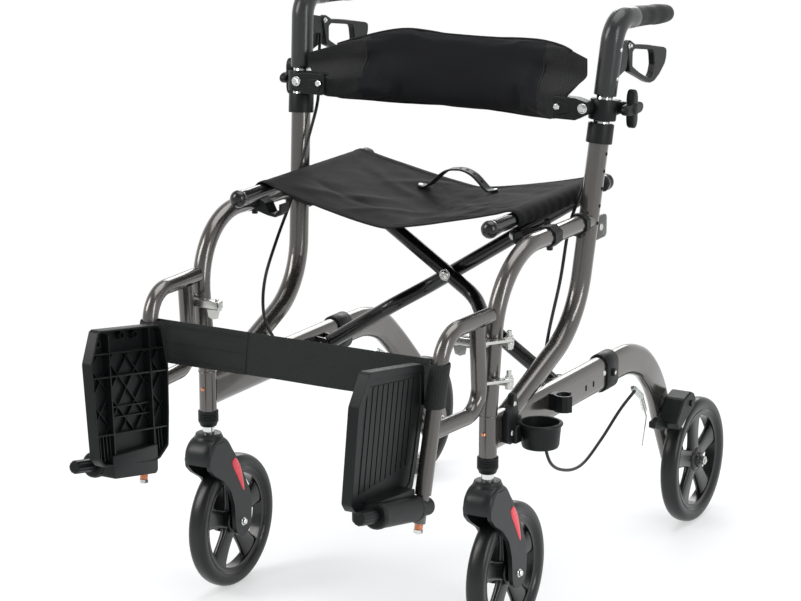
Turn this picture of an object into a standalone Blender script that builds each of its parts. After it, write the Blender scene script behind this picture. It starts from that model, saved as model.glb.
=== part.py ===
"""Folding rollator with detachable footrests, built as an assembly of separate pieces.

Metres, +Z up. +X is the object's own left-hand side seen from behind, -Y is the front
(casters and footrests), +Y is the rear (grips and braked wheels). The right-hand set of
pieces, at +X, is modelled first and the set at -X is its mirror twin.
"""
import math

import bmesh
import bpy
import numpy as np
from mathutils import Matrix, Vector

# Clearances
GAP = 0.0003
RUNNING_GAP = 0.0006
WELD = 0.00002

# Wheels and casters
WHEEL_R = 0.100
TYRE_W = 0.027
TYRE_DEPTH = 0.019
RIM_DEPTH = 0.010
RIM_W = 0.022
HUB_R = 0.019
HUB_W = 0.0295
SPOKES = 5
AXLE_R = 0.004
CASTER_X = 0.229
CASTER_TRAIL = 0.057
FORK_TOP_Z = 0.253
FORK_LEG_T = 0.0065
FORK_SIDE_GAP = 0.0020
STEM_R = 0.0090
REAR_WHEEL_X = 0.248
REAR_AXLE_Y = 0.668
LEG_FOOT_X = 0.216

# Tubes of the side frames
FRONT_TUBE_R = 0.0127
FRONT_BORE_R = 0.0098
UPRIGHT_R = 0.0145
UPRIGHT_BORE_R = 0.0131
HANDLE_TUBE_R = 0.0125
OVAL_W = 0.026
OVAL_H = 0.052
OVAL_WALL = 0.0018
OVAL_Z = 0.3155
OVAL_END_Y = 0.374
FRONT_LEAN = 0.062
FRONT_LEAN_Z = 0.34
REAR_LEAN = 0.0575
UPPER_TUBE_Z = 0.567
UPPER_BEND_R = 0.107
COLLAR_TOP_Z = 0.2834
COLLAR_BOTTOM_Z = 0.2597
UPRIGHT_SLOPE = 0.1444
UPRIGHT_Y = 0.2773
UPRIGHT_REF_Z = 0.5348
UPRIGHT_TOP_Z = 0.692
UPRIGHT_CORNER_Z = 0.4137
UPRIGHT_FOOT_Y = 0.055
UPRIGHT_FOOT_Z = 0.3305
UPRIGHT_BEND_R = 0.125
HEIGHT_HOLE_R = 0.003
HEIGHT_HOLE_PITCH = 0.025
HEIGHT_HOLES = 5
HEIGHT_HOLE_TOP_Z = 0.6588

# Rear legs
LEG_CLEAR = 0.0005
LEG_INNER_Y = 0.205
LEG_COLLAR_L = 0.038
LEG_COLLAR_T = 0.0032

# Cross brace and seat
RAIL_X = 0.2035
RAIL_Z = 0.590
RAIL_R = 0.0105
RAIL_FRONT_Y = 0.050
RAIL_REAR_Y = 0.418
RAIL_CAP_R = 0.0122
PIVOT_Z = 0.318
CROSS_R = 0.011
CROSS_FRONT_Y = 0.307
CROSS_REAR_Y = 0.331
CROSS_FRONT_LOW_Y = 0.262
CROSS_REAR_LOW_Y = 0.294
CROSS_JOGGLE_NEAR = 0.055
CROSS_JOGGLE_FAR = 0.105
PIN_R = 0.0035
LINK_S = 0.1228
LINK_W = 0.015
LINK_T = 0.003
LINK_LENGTH = 0.1095
LINK_SLOPE = 13.3
SEAT_FRONT_Y = 0.112
SEAT_REAR_Y = 0.405
SEAT_SAG = 0.046
SEAT_T = 0.003
GRAB_Y = 0.336

# Handles
CASING_R = 0.0165
CASING_BEND_R = 0.036
CASING_CORNER_Z = 0.8490
GRIP_END_Y = 0.510
GRIP_DROP = 0.084
GRIP_R = 0.0143
HEIGHT_COLLAR_LIP = 0.0095
HEIGHT_COLLAR_L = 0.0285
HEIGHT_COLLAR_TOP = UPRIGHT_TOP_Z + HEIGHT_COLLAR_LIP
HEIGHT_COLLAR_BOTTOM = HEIGHT_COLLAR_TOP - HEIGHT_COLLAR_L
HEIGHT_COLLAR_R = 0.0186
HANDLE_TUBE_LENGTH = 0.175
CLAMP_H = 0.030
CLAMP_GAP = 0.004
CLAMP_Z = HEIGHT_COLLAR_TOP + CLAMP_GAP + CLAMP_H / 2
CLAMP_R = 0.0200
CASING_BOTTOM_Z = CLAMP_Z + CLAMP_H / 2 + 0.005
KNOB_R = 0.028
KNOB_T = 0.012
KNOB_LOBES = 4
KNOB_CAP = 0.0065
KNOB_Y = 0.330
KNOB_START_X = 0.2745
BOLT_X = 0.2369
BOLT_Z = CLAMP_Z + 0.0058
BOLT_R = 0.0030
BRACKET_Y = 0.2745
BRACKET_DEEP = 0.018
BRACKET_END_X = 0.1895
BRACKET_SLOT_X = 0.2075
BRACKET_SLOT = 0.0054
BRACKET_BOLT_X = 0.1975
BRACKET_LOW = 0.0180
BRACKET_HIGH = 0.0140
LEVER_PIVOT_Y = 0.3717
LEVER_PIVOT_Z = 0.8036
LEVER_T = 0.010

# Footrests
HANGER_R = 0.0111
HANGER_TOP_Z = 0.4880
HANGER_FRONT_Y = -0.1330
HANGER_BEND_R = 0.045
HANGER_LEAN = 0.181
HANGER_END_Z = 0.2765
HANGER_POST_Y = -0.0385
HANGER_LOW_Z = 0.3575
HANGER_INSET = 0.0060
HANGER_POST_INSET = 0.0035
HANGER_LEAN_X = 0.048
HINGE_PIN_X = 0.2605
HINGE_PIN_R = 0.0035
PLATE_T = 0.004
STEM_TUBE_R = 0.0085
FOOTPLATE_X = 0.2050
FOOTPLATE_T = 0.016
FOOTPLATE_LEAN = 0.0774
FOOTPLATE_RIB = 0.0018
FOOTPLATE_SKIN = 0.0035
TREAD_GROOVES = 5
BARREL_R = 0.0175
BARREL_X = 0.2213
BARREL_Y = -0.1780
BARREL_Z = 0.2605
BARREL_REAR_Y = -0.1890
BARREL_FRONT_Y = -0.2990
BARREL_RISE = 0.1914
STRAP_T = 0.0022
STRAP_TOP_Z = 0.4500
STRAP_H = 0.058

# Backrest
BACKREST_BOW = 0.080
BACKREST_END_X = 0.2065
BACKREST_TAB_X = 0.188
BACKREST_FLARE = 0.0215
BACKREST_T = 0.022

# Brake
BRAKE_X = 0.2520
BRAKE_PIN_BACK = 0.0597
BRAKE_PIN_Z = 0.2103
SHOE_GAP = 0.0035

KNOB_FRONT_Y = -0.3400
FRAME_CENTRE_Y = (KNOB_FRONT_Y + REAR_AXLE_Y + WHEEL_R) / 2

# Cup holder
CUP_CENTRE = (0.2745, 0.0700)
CUP_R = 0.0290
CUP_RIM = 0.0026
CUP_TOP_Z = 0.3215
CUP_DEPTH = 0.0360
FRAME_CENTRE_X = (CUP_CENTRE[0] + CUP_R + CUP_RIM - KNOB_START_X - KNOB_T - KNOB_CAP) / 2

PAINT = ("champagne_paint", (0.235, 0.215, 0.195), 0.32, 0.75)
BLACK_GLOSS = ("black_paint", (0.018, 0.019, 0.020), 0.25, 0.2)
BLACK_PLASTIC = ("black_plastic", (0.028, 0.031, 0.033), 0.50, 0.0)
GREY_CASING = ("dark_grey_casing", (0.085, 0.092, 0.092), 0.42, 0.1)
ZINC = ("zinc", (0.60, 0.62, 0.60), 0.30, 0.95)
CHROME = ("chrome", (0.78, 0.79, 0.80), 0.12, 1.0)
COPPER = ("copper_button", (0.78, 0.36, 0.22), 0.30, 0.9)
TYRE = ("wheel_black", (0.022, 0.024, 0.025), 0.35, 0.0)
NYLON = ("black_nylon", (0.022, 0.023, 0.026), 0.80, 0.0)
STRAP = ("dark_webbing", (0.045, 0.052, 0.048), 0.75, 0.0)
CABLE = ("cable_jacket", (0.012, 0.012, 0.013), 0.45, 0.0)


def clear_scene():
    for old in list(bpy.data.objects):
        bpy.data.objects.remove(old, do_unlink=True)


def new_collection(name):
    made = bpy.data.collections.new(name)
    bpy.context.scene.collection.children.link(made)
    return made


def material(spec):
    name, colour, roughness, metallic = spec
    found = bpy.data.materials.get(name)
    if found:
        return found
    made = bpy.data.materials.new(name)
    made.use_nodes = True
    shader = made.node_tree.nodes["Principled BSDF"]
    shader.inputs["Base Color"].default_value = (*colour, 1.0)
    shader.inputs["Roughness"].default_value = roughness
    shader.inputs["Metallic"].default_value = metallic
    return made


clear_scene()
PARTS = new_collection("folding_rollator")


# Shape helpers

def link(name, data):
    made = bpy.data.objects.new(name, data)
    PARTS.objects.link(made)
    return made


def baked(source):
    """Turn an object into a plain mesh in world coordinates, welded and facing outwards."""
    bpy.context.view_layer.update()
    graph = bpy.context.evaluated_depsgraph_get()
    mesh = bpy.data.meshes.new_from_object(source.evaluated_get(graph))
    mesh.transform(source.matrix_world)
    bm = bmesh.new()
    bm.from_mesh(mesh)
    bmesh.ops.remove_doubles(bm, verts=bm.verts, dist=WELD)
    bmesh.ops.dissolve_degenerate(bm, edges=bm.edges, dist=WELD / 4)
    bmesh.ops.recalc_face_normals(bm, faces=bm.faces)
    bm.to_mesh(mesh)
    bm.free()
    name = source.name
    bpy.data.objects.remove(source, do_unlink=True)
    return link(name, mesh)


def combine(target, tools, operation):
    """Join tools to a target, or cut them out of it."""
    for tool in tools:
        change = target.modifiers.new("solid", "BOOLEAN")
        change.operation = operation
        change.solver = "EXACT"
        change.object = tool
        target = baked(target)
        bpy.data.objects.remove(tool, do_unlink=True)
    return target


def join(target, *tools):
    return combine(target, tools, "UNION")


def cut(target, *tools):
    return combine(target, tools, "DIFFERENCE")


def rounded(source, width, segments=2, angle=35.0):
    """Round the sharp edges of a solid."""
    edge = source.modifiers.new("edges", "BEVEL")
    edge.width = width
    edge.segments = segments
    edge.limit_method = "ANGLE"
    edge.angle_limit = math.radians(angle)
    return baked(source)


def fillet_path(corners, radii, step=12.0):
    """Follow straight runs between corners, with an arc of the given radius at each inner one."""
    points = [Vector(corners[0])]
    for before, corner, after, radius in zip(corners, corners[1:], corners[2:], radii):
        corner = Vector(corner)
        back = (Vector(before) - corner).normalized()
        ahead = (Vector(after) - corner).normalized()
        half = back.angle(ahead) / 2
        if radius <= 0 or half > math.radians(89.5):
            points.append(corner)
            continue
        start = corner + back * (radius / math.tan(half))
        centre = corner + (back + ahead).normalized() * (radius / math.sin(half))
        spoke = (start - centre) / radius
        turn = math.pi - 2 * half
        count = max(2, math.ceil(math.degrees(turn) / step))
        for i in range(count + 1):
            a = turn * i / count
            points.append(centre + radius * (spoke * math.cos(a) - back * math.sin(a)))
    points.append(Vector(corners[-1]))
    return points


def smooth_path(knots, count):
    """Sample a smooth curve that passes through the knots."""
    p = np.array(knots, float)
    p = np.vstack([2 * p[0] - p[1], p, 2 * p[-1] - p[-2]])
    spans = len(knots) - 1
    points = []
    for t in np.linspace(0, spans, count):
        i = min(int(t), spans - 1)
        u = t - i
        a, b, c, d = p[i:i + 4]
        points.append(0.5 * (2 * b + (c - a) * u + (2 * a - 5 * b + 4 * c - d) * u ** 2
                             + (3 * b - a - 3 * c + d) * u ** 3))
    return points


def curve_object(name, points, closed=False, flat=False):
    data = bpy.data.curves.new(name, "CURVE")
    data.dimensions = "2D" if flat else "3D"
    spline = data.splines.new("POLY")
    spline.points.add(len(points) - 1)
    for slot, p in zip(spline.points, points):
        slot.co = (p[0], p[1], p[2] if len(p) > 2 else 0.0, 1.0)
    spline.use_cyclic_u = closed
    return link(name, data)


def tube(name, points, radius, sides=12, radii=None):
    """A round bar along a path; radii scale it point by point."""
    made = curve_object(name, points)
    made.data.bevel_depth = radius
    made.data.bevel_resolution = sides // 2 - 2
    made.data.use_fill_caps = True
    if radii:
        for slot, share in zip(made.data.splines[0].points, radii):
            slot.radius = share
    return baked(made)


def stadium(width, height, steps=5):
    """A flat-sided oval, taller than wide, as outline points."""
    r = width / 2
    h = height / 2 - r
    top = [(r * math.cos(a), h + r * math.sin(a)) for a in np.linspace(0, math.pi, steps)]
    low = [(-x, -y) for x, y in top]
    return top + low


def oval_tube(name, points, width, height):
    """A flat-sided oval bar along a path, its tall side upright."""
    section = curve_object(name + "_section", stadium(width, height), closed=True, flat=True)
    made = curve_object(name, points)
    made.data.bevel_mode = "OBJECT"
    made.data.bevel_object = section
    made.data.use_fill_caps = True
    made.data.twist_mode = "Z_UP"
    made = baked(made)
    bpy.data.objects.remove(section, do_unlink=True)
    return made


PLANES = {
    "XY": Matrix(((1, 0, 0, 0), (0, 1, 0, 0), (0, 0, 1, 0), (0, 0, 0, 1))),
    "YZ": Matrix(((0, 0, 1, 0), (1, 0, 0, 0), (0, 1, 0, 0), (0, 0, 0, 1))),
    "XZ": Matrix(((1, 0, 0, 0), (0, 0, -1, 0), (0, 1, 0, 0), (0, 0, 0, 1))),
}


def slab(name, outline, plane, middle, thickness):
    """A flat outline in a world plane, given a thickness about its middle."""
    made = curve_object(name, outline, closed=True, flat=True)
    made.data.fill_mode = "BOTH"
    made.data.extrude = thickness / 2
    offset = {"XY": (0, 0, middle), "YZ": (middle, 0, 0), "XZ": (0, middle, 0)}[plane]
    made.matrix_world = Matrix.Translation(offset) @ PLANES[plane]
    return baked(made)


def bar(name, start, end, radius, sides=12, end_radius=None):
    """A round bar or cone between two points."""
    start, end = Vector(start), Vector(end)
    way = end - start
    bm = bmesh.new()
    turn = way.to_track_quat("Z", "Y").to_matrix().to_4x4()
    bmesh.ops.create_cone(
        bm, cap_ends=True, segments=sides, radius1=radius,
        radius2=radius if end_radius is None else end_radius, depth=way.length,
        matrix=Matrix.Translation((start + end) / 2) @ turn)
    mesh = bpy.data.meshes.new(name)
    bm.to_mesh(mesh)
    bm.free()
    return link(name, mesh)


def block(name, low, high):
    """A box between two corners."""
    bm = bmesh.new()
    size = Vector(high) - Vector(low)
    middle = (Vector(high) + Vector(low)) / 2
    bmesh.ops.create_cube(bm, size=1.0, matrix=Matrix.Translation(middle) @ Matrix.Diagonal((*size, 1)))
    mesh = bpy.data.meshes.new(name)
    bm.to_mesh(mesh)
    bm.free()
    return link(name, mesh)


def turned(name, profile, start, axis, steps=16, closed=False):
    """Turn a profile of (radius, height) pairs round an axis through a point."""
    mesh = bpy.data.meshes.new(name)
    ends = [(i, i + 1) for i in range(len(profile) - 1)]
    if closed:
        ends.append((len(profile) - 1, 0))
    mesh.from_pydata([(r, 0, h) for r, h in profile], ends, [])
    made = link(name, mesh)
    screw = made.modifiers.new("turn", "SCREW")
    screw.steps = steps
    screw.render_steps = steps
    screw.use_merge_vertices = True
    screw.merge_threshold = 0.00001
    turn = Vector(axis).to_track_quat("Z", "Y").to_matrix().to_4x4()
    made.matrix_world = Matrix.Translation(start) @ turn
    return baked(made)


def loft(name, rings, strips=False):
    """Skin rings of equal point counts into one closed solid, with plain or banded ends."""
    rings = [np.asarray(r, float) for r in rings]
    count = len(rings[0])
    verts = np.concatenate(rings)
    faces = []
    for i in range(len(rings) - 1):
        for j in range(count):
            k = (j + 1) % count
            a = i * count
            b = a + count
            faces.append((a + j, a + k, b + k, b + j))
    for base in (0, len(verts) - count):
        if not strips:
            faces.append(tuple(range(base, base + count)))
            continue
        quarter = count // 4
        pairs = [(i % count, (count // 2 - i) % count) for i in range(quarter, -quarter - 1, -1)]
        for (a, b), (c, d) in zip(pairs, pairs[1:]):
            faces.append(tuple(base + i for i in dict.fromkeys((a, b, d, c))))
    mesh = bpy.data.meshes.new(name)
    mesh.from_pydata(verts.tolist(), [], faces)
    return baked(link(name, mesh))


def sheet(name, rows, thickness):
    """A thin closed solid from a grid of points, thickened about its middle."""
    grid = np.asarray(rows, float)
    n, m = grid.shape[:2]
    faces = [(i * m + j, i * m + j + 1, (i + 1) * m + j + 1, (i + 1) * m + j)
             for i in range(n - 1) for j in range(m - 1)]
    mesh = bpy.data.meshes.new(name)
    mesh.from_pydata(grid.reshape(-1, 3).tolist(), [], faces)
    made = link(name, mesh)
    wall = made.modifiers.new("wall", "SOLIDIFY")
    wall.thickness = thickness
    wall.offset = 0.0
    return baked(made)


def finish(source, name, spec, smooth=40.0):
    """Name a finished solid and give it its material and shading."""
    source.name = name
    source.data.name = name
    source.data.materials.clear()
    source.data.materials.append(material(spec))
    source.data.shade_smooth()
    source.data.set_sharp_from_angle(angle=math.radians(smooth))
    return source


def mirror_twin(source, name):
    """The same piece on the other side of the middle plane."""
    mesh = source.data.copy()
    bm = bmesh.new()
    bm.from_mesh(mesh)
    bmesh.ops.transform(bm, matrix=Matrix.Scale(-1, 4, (1, 0, 0)), verts=bm.verts)
    bmesh.ops.reverse_faces(bm, faces=bm.faces)
    bm.to_mesh(mesh)
    bm.free()
    mesh.name = name
    return link(name, mesh)


# Places that several pieces share

def front_x(z):
    return CASTER_X + FRONT_LEAN * max(0.0, z - FRONT_LEAN_Z)


def rear_x(z):
    return CASTER_X + 0.0005 + REAR_LEAN * (z - OVAL_Z - OVAL_H / 2)


def upright_y(z):
    return UPRIGHT_Y + UPRIGHT_SLOPE * (z - UPRIGHT_REF_Z)


def on_upright(z):
    return Vector((rear_x(z), upright_y(z), z))


def hanger_x(z):
    return front_x(HANGER_TOP_Z) - HANGER_INSET - HANGER_LEAN_X * (HANGER_TOP_Z - z)


def hanger_front_y(z):
    return HANGER_FRONT_Y - HANGER_LEAN * (HANGER_TOP_Z - z)


def barrel_point(y):
    """A point of the footplate's hinge line."""
    return Vector((BARREL_X, y, BARREL_Z + BARREL_RISE * (BARREL_Y - y)))


POST_X = front_x(HANGER_TOP_Z) - HANGER_POST_INSET
BARREL_AXIS = Vector((0, -1, BARREL_RISE)).normalized()
UPRIGHT_AXIS = (on_upright(UPRIGHT_TOP_Z) - on_upright(UPRIGHT_REF_Z)).normalized()
HANGER_AXIS = Vector((hanger_x(0.3) - hanger_x(0.4), hanger_front_y(0.3) - hanger_front_y(0.4),
                      -0.1)).normalized()
CROSS_RISE = (RAIL_Z - RAIL_R - PIVOT_Z) / 2 + 0.0012
CROSS_ANGLE = math.atan2(CROSS_RISE, RAIL_X)
CENTRE_Z = PIVOT_Z + CROSS_RISE


def along_cross(distance, lower_side=1):
    """A point of the cross brace plane, measured from the centre pivot down to one side."""
    return (lower_side * distance * math.cos(CROSS_ANGLE), CENTRE_Z - distance * math.sin(CROSS_ANGLE))


# Wheels

def make_wheel(name, x, y):
    """A cast wheel: tyre and rim turned, hub turned, broad tapered spokes, axle bore."""
    inner = WHEEL_R - TYRE_DEPTH
    rim_in = inner - RIM_DEPTH
    half = TYRE_W / 2
    rim_half = RIM_W / 2
    tyre = [(WHEEL_R - 0.009, half), (WHEEL_R, half * 0.45), (WHEEL_R, -half * 0.45),
            (WHEEL_R - 0.009, -half),
            (inner, -rim_half), (rim_in, -rim_half * 0.80), (rim_in, rim_half * 0.80), (inner, rim_half)]
    centre = (x, y, WHEEL_R)
    wheel = turned(name, tyre, centre, (1, 0, 0), steps=20, closed=True)
    hub = turned(name + "_hub", [(0, HUB_W / 2), (HUB_R * 0.65, HUB_W / 2), (HUB_R, HUB_W * 0.3),
                                 (HUB_R, -HUB_W * 0.3), (HUB_R * 0.65, -HUB_W / 2), (0, -HUB_W / 2)],
                 centre, (1, 0, 0), steps=8)
    spokes = []
    root, tip = 0.0125, 0.0185
    start, end = HUB_R * 0.55, rim_in + RIM_DEPTH * 0.5
    for i in range(SPOKES):
        a = 2 * math.pi * i / SPOKES + 0.35
        out = Vector((0, math.cos(a), math.sin(a)))
        side = Vector((0, -math.sin(a), math.cos(a)))
        mid = Vector(centre)
        rings = []
        for distance, wide, deep in ((start, root, 0.0070), (end, tip, 0.0075)):
            p = mid + out * distance
            rings.append([p + side * (wide * u) + Vector((deep * v, 0, 0))
                          for u, v in ((1, 0), (0.5, 1), (-0.5, 1), (-1, 0), (-0.5, -1), (0.5, -1))])
        spokes.append(loft(name + "_spoke", rings))
    wheel = join(wheel, hub, *spokes)
    bore = bar("bore", (x - HUB_W, y, WHEEL_R), (x + HUB_W, y, WHEEL_R), AXLE_R + RUNNING_GAP, 8)
    return finish(cut(wheel, bore), name, TYRE)


# Front caster

def make_fork():
    """A moulded fork: a domed crown that runs down into two swept legs, with its axle bolt."""
    inner = TYRE_W / 2 + FORK_SIDE_GAP
    outer = inner + FORK_LEG_T
    axle = (CASTER_TRAIL, WHEEL_R)
    foot = [(axle[0] + 0.0215 * math.cos(a), axle[1] + 0.0215 * math.sin(a))
            for a in np.radians([205, 255, 305, 355])]
    side = [(-0.024, FORK_TOP_Z - 0.008), (-0.032, FORK_TOP_Z - 0.019), (-0.034, 0.214), (-0.030, 0.202),
            (-0.018, 0.191), (0.006, 0.176), (0.024, 0.156), (0.033, 0.132)] + foot + [
            (0.0795, 0.122), (0.0745, 0.146), (0.060, 0.172), (0.044, 0.200), (0.030, 0.225),
            (0.020, FORK_TOP_Z - 0.010)]
    body = slab("fork", side, "YZ", CASTER_X, 2 * outer)
    body = rounded(body, 0.0060, 1, 60)
    disc = turned("fork_disc", [(0, FORK_TOP_Z), (0.0165, FORK_TOP_Z), (0.0195, FORK_TOP_Z - 0.003),
                                (0.0235, FORK_TOP_Z - 0.018), (0, FORK_TOP_Z - 0.018)],
                  (CASTER_X, 0, 0), (0, 0, 1), steps=12)
    body = join(body, disc)
    room = [(CASTER_TRAIL + (WHEEL_R + 0.0075) * math.cos(a), WHEEL_R + (WHEEL_R + 0.0075) * math.sin(a))
            for a in np.linspace(-0.6, math.pi * 0.74, 9)]
    room += [(-0.052, 0.170), (-0.052, 0.060)]
    body = cut(body, slab("wheel_room", room, "YZ", CASTER_X, 2 * inner))
    arch = [(-0.014 + 0.030 * math.cos(a), 0.1885 + 0.030 * math.sin(a))
            for a in np.linspace(0, 2 * math.pi, 9)[:-1]]
    body = cut(body, slab("nose_hollow", arch, "YZ", CASTER_X, 2 * inner - 0.002))
    axle_bar = bar("axle", (CASTER_X - outer - 0.0045, *axle), (CASTER_X + outer + 0.0045, *axle), AXLE_R, 8)
    heads = [bar("head", (CASTER_X + s * (outer - 0.001), *axle), (CASTER_X + s * (outer + 0.0045), *axle),
                 0.0062, 6)
             for s in (-1, 1)]
    body = join(body, axle_bar, *heads)
    bore = bar("bore", (CASTER_X, 0, FORK_TOP_Z - 0.016), (CASTER_X, 0, FORK_TOP_Z + 0.01), STEM_R + GAP, 12)
    return finish(cut(body, bore), "caster_fork_right", BLACK_PLASTIC)


def make_stem():
    """The steel stem, seated in the fork's crown and running up into the front tube."""
    low = FORK_TOP_Z - 0.016 + GAP
    top = COLLAR_TOP_Z + 0.029
    profile = [(0, top), (STEM_R - 0.0015, top), (STEM_R, top - 0.002), (STEM_R, low), (0, low)]
    stem = turned("stem", profile, (CASTER_X, 0, 0), (0, 0, 1), steps=12)
    return finish(stem, "caster_stem_right", CHROME)


def make_stem_collar():
    """The ribbed plastic bush on the lower end of the front tube."""
    shoulder = COLLAR_BOTTOM_Z + 0.007
    outer = FRONT_TUBE_R + 0.0022
    rib = outer - 0.0006
    profile = [(FRONT_TUBE_R + GAP, COLLAR_TOP_Z), (rib, COLLAR_TOP_Z), (outer, COLLAR_TOP_Z - 0.009),
               (outer, shoulder + 0.001),
               (outer - 0.0045, COLLAR_BOTTOM_Z),
               (STEM_R + RUNNING_GAP, COLLAR_BOTTOM_Z), (STEM_R + RUNNING_GAP, shoulder - 0.002),
               (FRONT_TUBE_R + GAP, shoulder - 0.002)]
    collar = turned("collar", profile, (CASTER_X, 0, 0), (0, 0, 1), steps=12, closed=True)
    return finish(collar, "stem_collar_right", BLACK_PLASTIC)


def make_button():
    """The spring button that holds the stem, a domed pin through the front of the tube."""
    z = COLLAR_TOP_Z + 0.0345
    face = -FRONT_TUBE_R
    profile = [(0, 0.0030), (0.0018, 0.0026), (0.0032, 0.0012), (0.0034, 0.0), (0.0034, -0.0024),
               (0, -0.0024)]
    button = turned("button", profile, (CASTER_X, face, z), (0, -1, 0), steps=8)
    return finish(button, "spring_button_right", COPPER)


# Side frame

def make_side_frame(name, pivot_y, link_y):
    """The welded side: bent front tube, curved rear upright, oval lower tube and their lugs."""
    top_x = front_x(UPPER_TUBE_Z)
    front = tube("frame", fillet_path(
        [(CASTER_X, 0, COLLAR_BOTTOM_Z + 0.0055), (CASTER_X, 0, FRONT_LEAN_Z), (top_x, 0, UPPER_TUBE_Z),
         (top_x, upright_y(UPPER_TUBE_Z) - 0.004, UPPER_TUBE_Z - 0.004)], (0, UPPER_BEND_R), 18),
         FRONT_TUBE_R, 12)
    corner_y = upright_y(UPRIGHT_CORNER_Z)
    rear = tube("rear", fillet_path(
        [on_upright(UPRIGHT_TOP_Z), (rear_x(UPRIGHT_CORNER_Z), corner_y, UPRIGHT_CORNER_Z),
         (CASTER_X + 0.0005, UPRIGHT_FOOT_Y, UPRIGHT_FOOT_Z)], (UPRIGHT_BEND_R,), 17), UPRIGHT_R, 12)
    lower = oval_tube("lower", [(CASTER_X, 0.004, OVAL_Z), (CASTER_X, OVAL_END_Y, OVAL_Z)], OVAL_W, OVAL_H)
    tab_x = rear_x(0.544) - 0.0015
    tab_y = upright_y(0.544)
    tab = slab("tab", fillet_outline([(tab_y + 0.006, 0.527), (tab_y + 0.066, 0.527), (tab_y + 0.066, 0.561),
                                      (tab_y + 0.006, 0.561)], (0, 0.007, 0.007, 0)), "YZ", tab_x, PLATE_T)
    link_lug = block("link_lug", (rear_x(0.546) - 0.034, tab_y, 0.537), (rear_x(0.546), link_y - GAP, 0.549))
    frame = join(front, rear, lower, tab, link_lug, *hanger_lugs(), *pivot_lugs(pivot_y))
    frame = cut(frame, *frame_bores(tab_x))
    return finish(frame, name, PAINT)


def fillet_outline(corners, radii, steps=2):
    """A closed outline with its corners rounded."""
    points = []
    count = len(corners)
    for i in range(count):
        corner = Vector((*corners[i], 0))
        radius = radii[i]
        if radius <= 0:
            points.append(corner[:2])
            continue
        back = (Vector((*corners[i - 1], 0)) - corner).normalized()
        ahead = (Vector((*corners[(i + 1) % count], 0)) - corner).normalized()
        half = back.angle(ahead) / 2
        start = corner + back * (radius / math.tan(half))
        centre = corner + (back + ahead).normalized() * (radius / math.sin(half))
        spoke = (start - centre) / radius
        turn = math.pi - 2 * half
        for j in range(steps + 1):
            a = turn * j / steps
            p = centre + radius * (spoke * math.cos(a) - back * math.sin(a))
            points.append(p[:2])
    return points


UPPER_PIN_Z = 0.4535
LOWER_PIN_Z = 0.3975
LUG_H = 0.006


def hanger_lugs():
    """Two arms on the outside of the front tube, each with an upright pin for the footrest."""
    made = []
    for z in (UPPER_PIN_Z, LOWER_PIN_Z):
        low = z - PLATE_T / 2 - GAP - LUG_H
        x = front_x(z)
        arm = fillet_outline([(x, -0.006), (HINGE_PIN_X + 0.0065, -0.0065), (HINGE_PIN_X + 0.0065, 0.0065),
                              (x, 0.006)],
                             (0, 0.0055, 0.0055, 0))
        made.append(slab("lug", arm, "XY", low + LUG_H / 2, LUG_H))
        made.append(bar("pin", (HINGE_PIN_X, 0, low + 0.001), (HINGE_PIN_X, 0, z + 0.013), HINGE_PIN_R, 8))
        made.append(bar("pin_foot", (HINGE_PIN_X, 0, low - 0.005), (HINGE_PIN_X, 0, low + 0.001), 0.0055, 6))
    return made


def pivot_lugs(pivot_y):
    """The clevis on the inside of the oval tube that carries the cross tube's lower end."""
    made = []
    for side in (-1, 1):
        y = pivot_y + side * (CROSS_R + GAP + 0.0015)
        x_out = CASTER_X - OVAL_W / 2 + 0.002
        ear = fillet_outline([(x_out, PIVOT_Z - 0.013), (x_out, PIVOT_Z + 0.013),
                              (RAIL_X - 0.011, PIVOT_Z + 0.011),
                              (RAIL_X - 0.011, PIVOT_Z - 0.011)], (0, 0, 0.009, 0.009))
        made.append(slab("ear", ear, "XZ", y, 0.003))
    made.append(bar("pin", (RAIL_X, pivot_y - CROSS_R - 0.0075, PIVOT_Z),
                    (RAIL_X, pivot_y + CROSS_R + 0.0065, PIVOT_Z), PIN_R, 8))
    made.append(bar("pin_head", (RAIL_X, pivot_y - CROSS_R - 0.0065, PIVOT_Z),
                    (RAIL_X, pivot_y - CROSS_R - 0.0025, PIVOT_Z), 0.0065, 6))
    return made


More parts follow.
